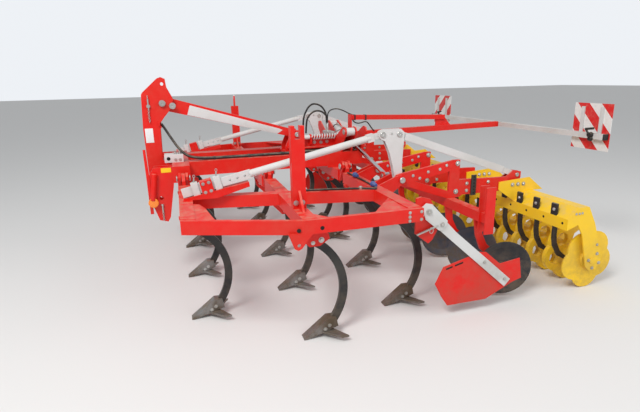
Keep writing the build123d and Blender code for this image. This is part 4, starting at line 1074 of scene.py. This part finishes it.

# %% Painted shade at the rail's end, cable and ties of the rails, and the tip of the far post
def rail_pieces():
    # A dark square of painted shade, standing for the shaded end of the rail.
    square = rectangle(-0.026, 1.214, 0.026, 1.266)
    plate_piece("rail end cap", square, "x", BOARD_FACE - 0.0035, BOARD_FACE + 0.001, RUBBER, "frame", 0.001)
    path = [
        at(-1.036, 0.034, 1.372),
        at(-1.054, 0.034, 1.342),
        at(-1.110, 0.034, 1.326),
        at(-1.190, 0.034, 1.350),
        at(-1.225, 0.034, 1.320),
        at(-1.262, 0.034, 1.262),
        at(-1.290, 0.034, 1.240),
    ]
    hose("rail cable", path, CABLE_RADIUS, RUBBER, "frame")
    shape = bmesh.new()
    for x, z in ((-1.065, 1.393), (-1.190, 1.388)):
        add_plate(shape, rectangle(-0.032, z - 0.029, 0.037, z + 0.029), "x", x - 0.006, x + 0.006)
    finish_piece("cable ties", shape, RUBBER, "frame", 0.001)
    tip = rectangle(-1.7130, 1.560, -1.6870, 1.6105)
    plate_piece("white post tip", tip, "x", -0.0108, 0.0108, WHITE, "right_wing", 0.001)


rail_pieces()
print("all pieces", len(PIECES))

# %% [markdown]
# ## Floor, light and camera
# The floor is plain and pale and catches a soft shadow. A picture of a field could light the machine, but two
# large soft lamps and an even sky give daylight that hides nothing. The camera sees the sky brighter than it
# shines on the machine. The camera stands where the photographer stood, at the near wing.

# %% Floor and light
FLOOR_HALF, FLOOR_DROP = 60.0, 0.002
LAMP_TARGET = (0, 0, 0.6)
SKY_LIGHT, SKY_SEEN_EXTRA = 0.58, 0.34


def floor():
    mesh = bpy.data.meshes.new("floor")
    shape = bmesh.new()
    bmesh.ops.create_grid(shape, x_segments=1, y_segments=1, size=FLOOR_HALF)
    bmesh.ops.translate(shape, verts=shape.verts, vec=(0, 0, -FLOOR_DROP))
    shape.to_mesh(mesh)
    shape.free()
    thing = bpy.data.objects.new("floor", mesh)
    bpy.context.scene.collection.objects.link(thing)
    material, _, shader = new_material("pale floor")
    shader.inputs["Base Color"].default_value = (0.72, 0.71, 0.69, 1)
    shader.inputs["Roughness"].default_value = 0.9
    mesh.materials.append(material)


def lamp(name, place, size, power):
    data = bpy.data.lights.new(name, "AREA")
    data.shape, data.size, data.energy = "DISK", size, power
    thing = bpy.data.objects.new(name, data)
    thing.location = place
    thing.rotation_euler = (Vector(LAMP_TARGET) - Vector(place)).to_track_quat("-Z", "Y").to_euler()
    bpy.context.scene.collection.objects.link(thing)


def sky():
    world = bpy.data.worlds.new("sky")
    bpy.context.scene.world = world
    world.use_nodes = True
    tree, background = world.node_tree, world.node_tree.nodes["Background"].inputs
    background["Color"].default_value = (0.93, 0.96, 1.0, 1)
    to_camera = node(tree, "ShaderNodeLightPath").outputs["Is Camera Ray"]
    extra = maths(tree, "MULTIPLY", to_camera, SKY_SEEN_EXTRA)
    tree.links.new(maths(tree, "ADD", extra, SKY_LIGHT), background["Strength"])


floor()
lamp("sun side", (4.5, 5.0, 7.0), 3.0, 470)
lamp("sky fill", (-5.0, 6.0, 5.0), 6.0, 190)
sky()
bpy.context.scene.view_settings.view_transform = "Standard"
print("lamps", [light.name for light in bpy.data.lights])
bpy.context.scene.view_settings.view_transform = "Standard"

# %% Camera
CAMERA_PLACE = at(0.763, 4.768, 1.80)
HEADING, PITCH, ROLL = math.radians(16.66), math.radians(15.27), math.radians(1.19)
FOCAL_PIXELS, PHOTO_WIDTH = 466.19, 640
SENSOR = 36.0


def camera():
    data = bpy.data.cameras.new("camera")
    data.sensor_width = SENSOR
    data.lens = FOCAL_PIXELS / PHOTO_WIDTH * SENSOR
    thing = bpy.data.objects.new("camera", data)
    ahead = math.cos(PITCH)
    look = Vector((-math.sin(HEADING) * ahead, -math.cos(HEADING) * ahead, -math.sin(PITCH)))
    level = look.cross(Vector((0, 0, 1))).normalized()
    down = look.cross(level)
    right = level * math.cos(ROLL) + down * math.sin(ROLL)
    up = right.cross(look)
    turned = Matrix((right, up, -look)).transposed().to_4x4()
    thing.matrix_world = Matrix.Translation(CAMERA_PLACE) @ turned
    bpy.context.scene.collection.objects.link(thing)
    bpy.context.scene.camera = thing


camera()
print("the lens is", round(bpy.context.scene.camera.data.lens, 2), "mm long")
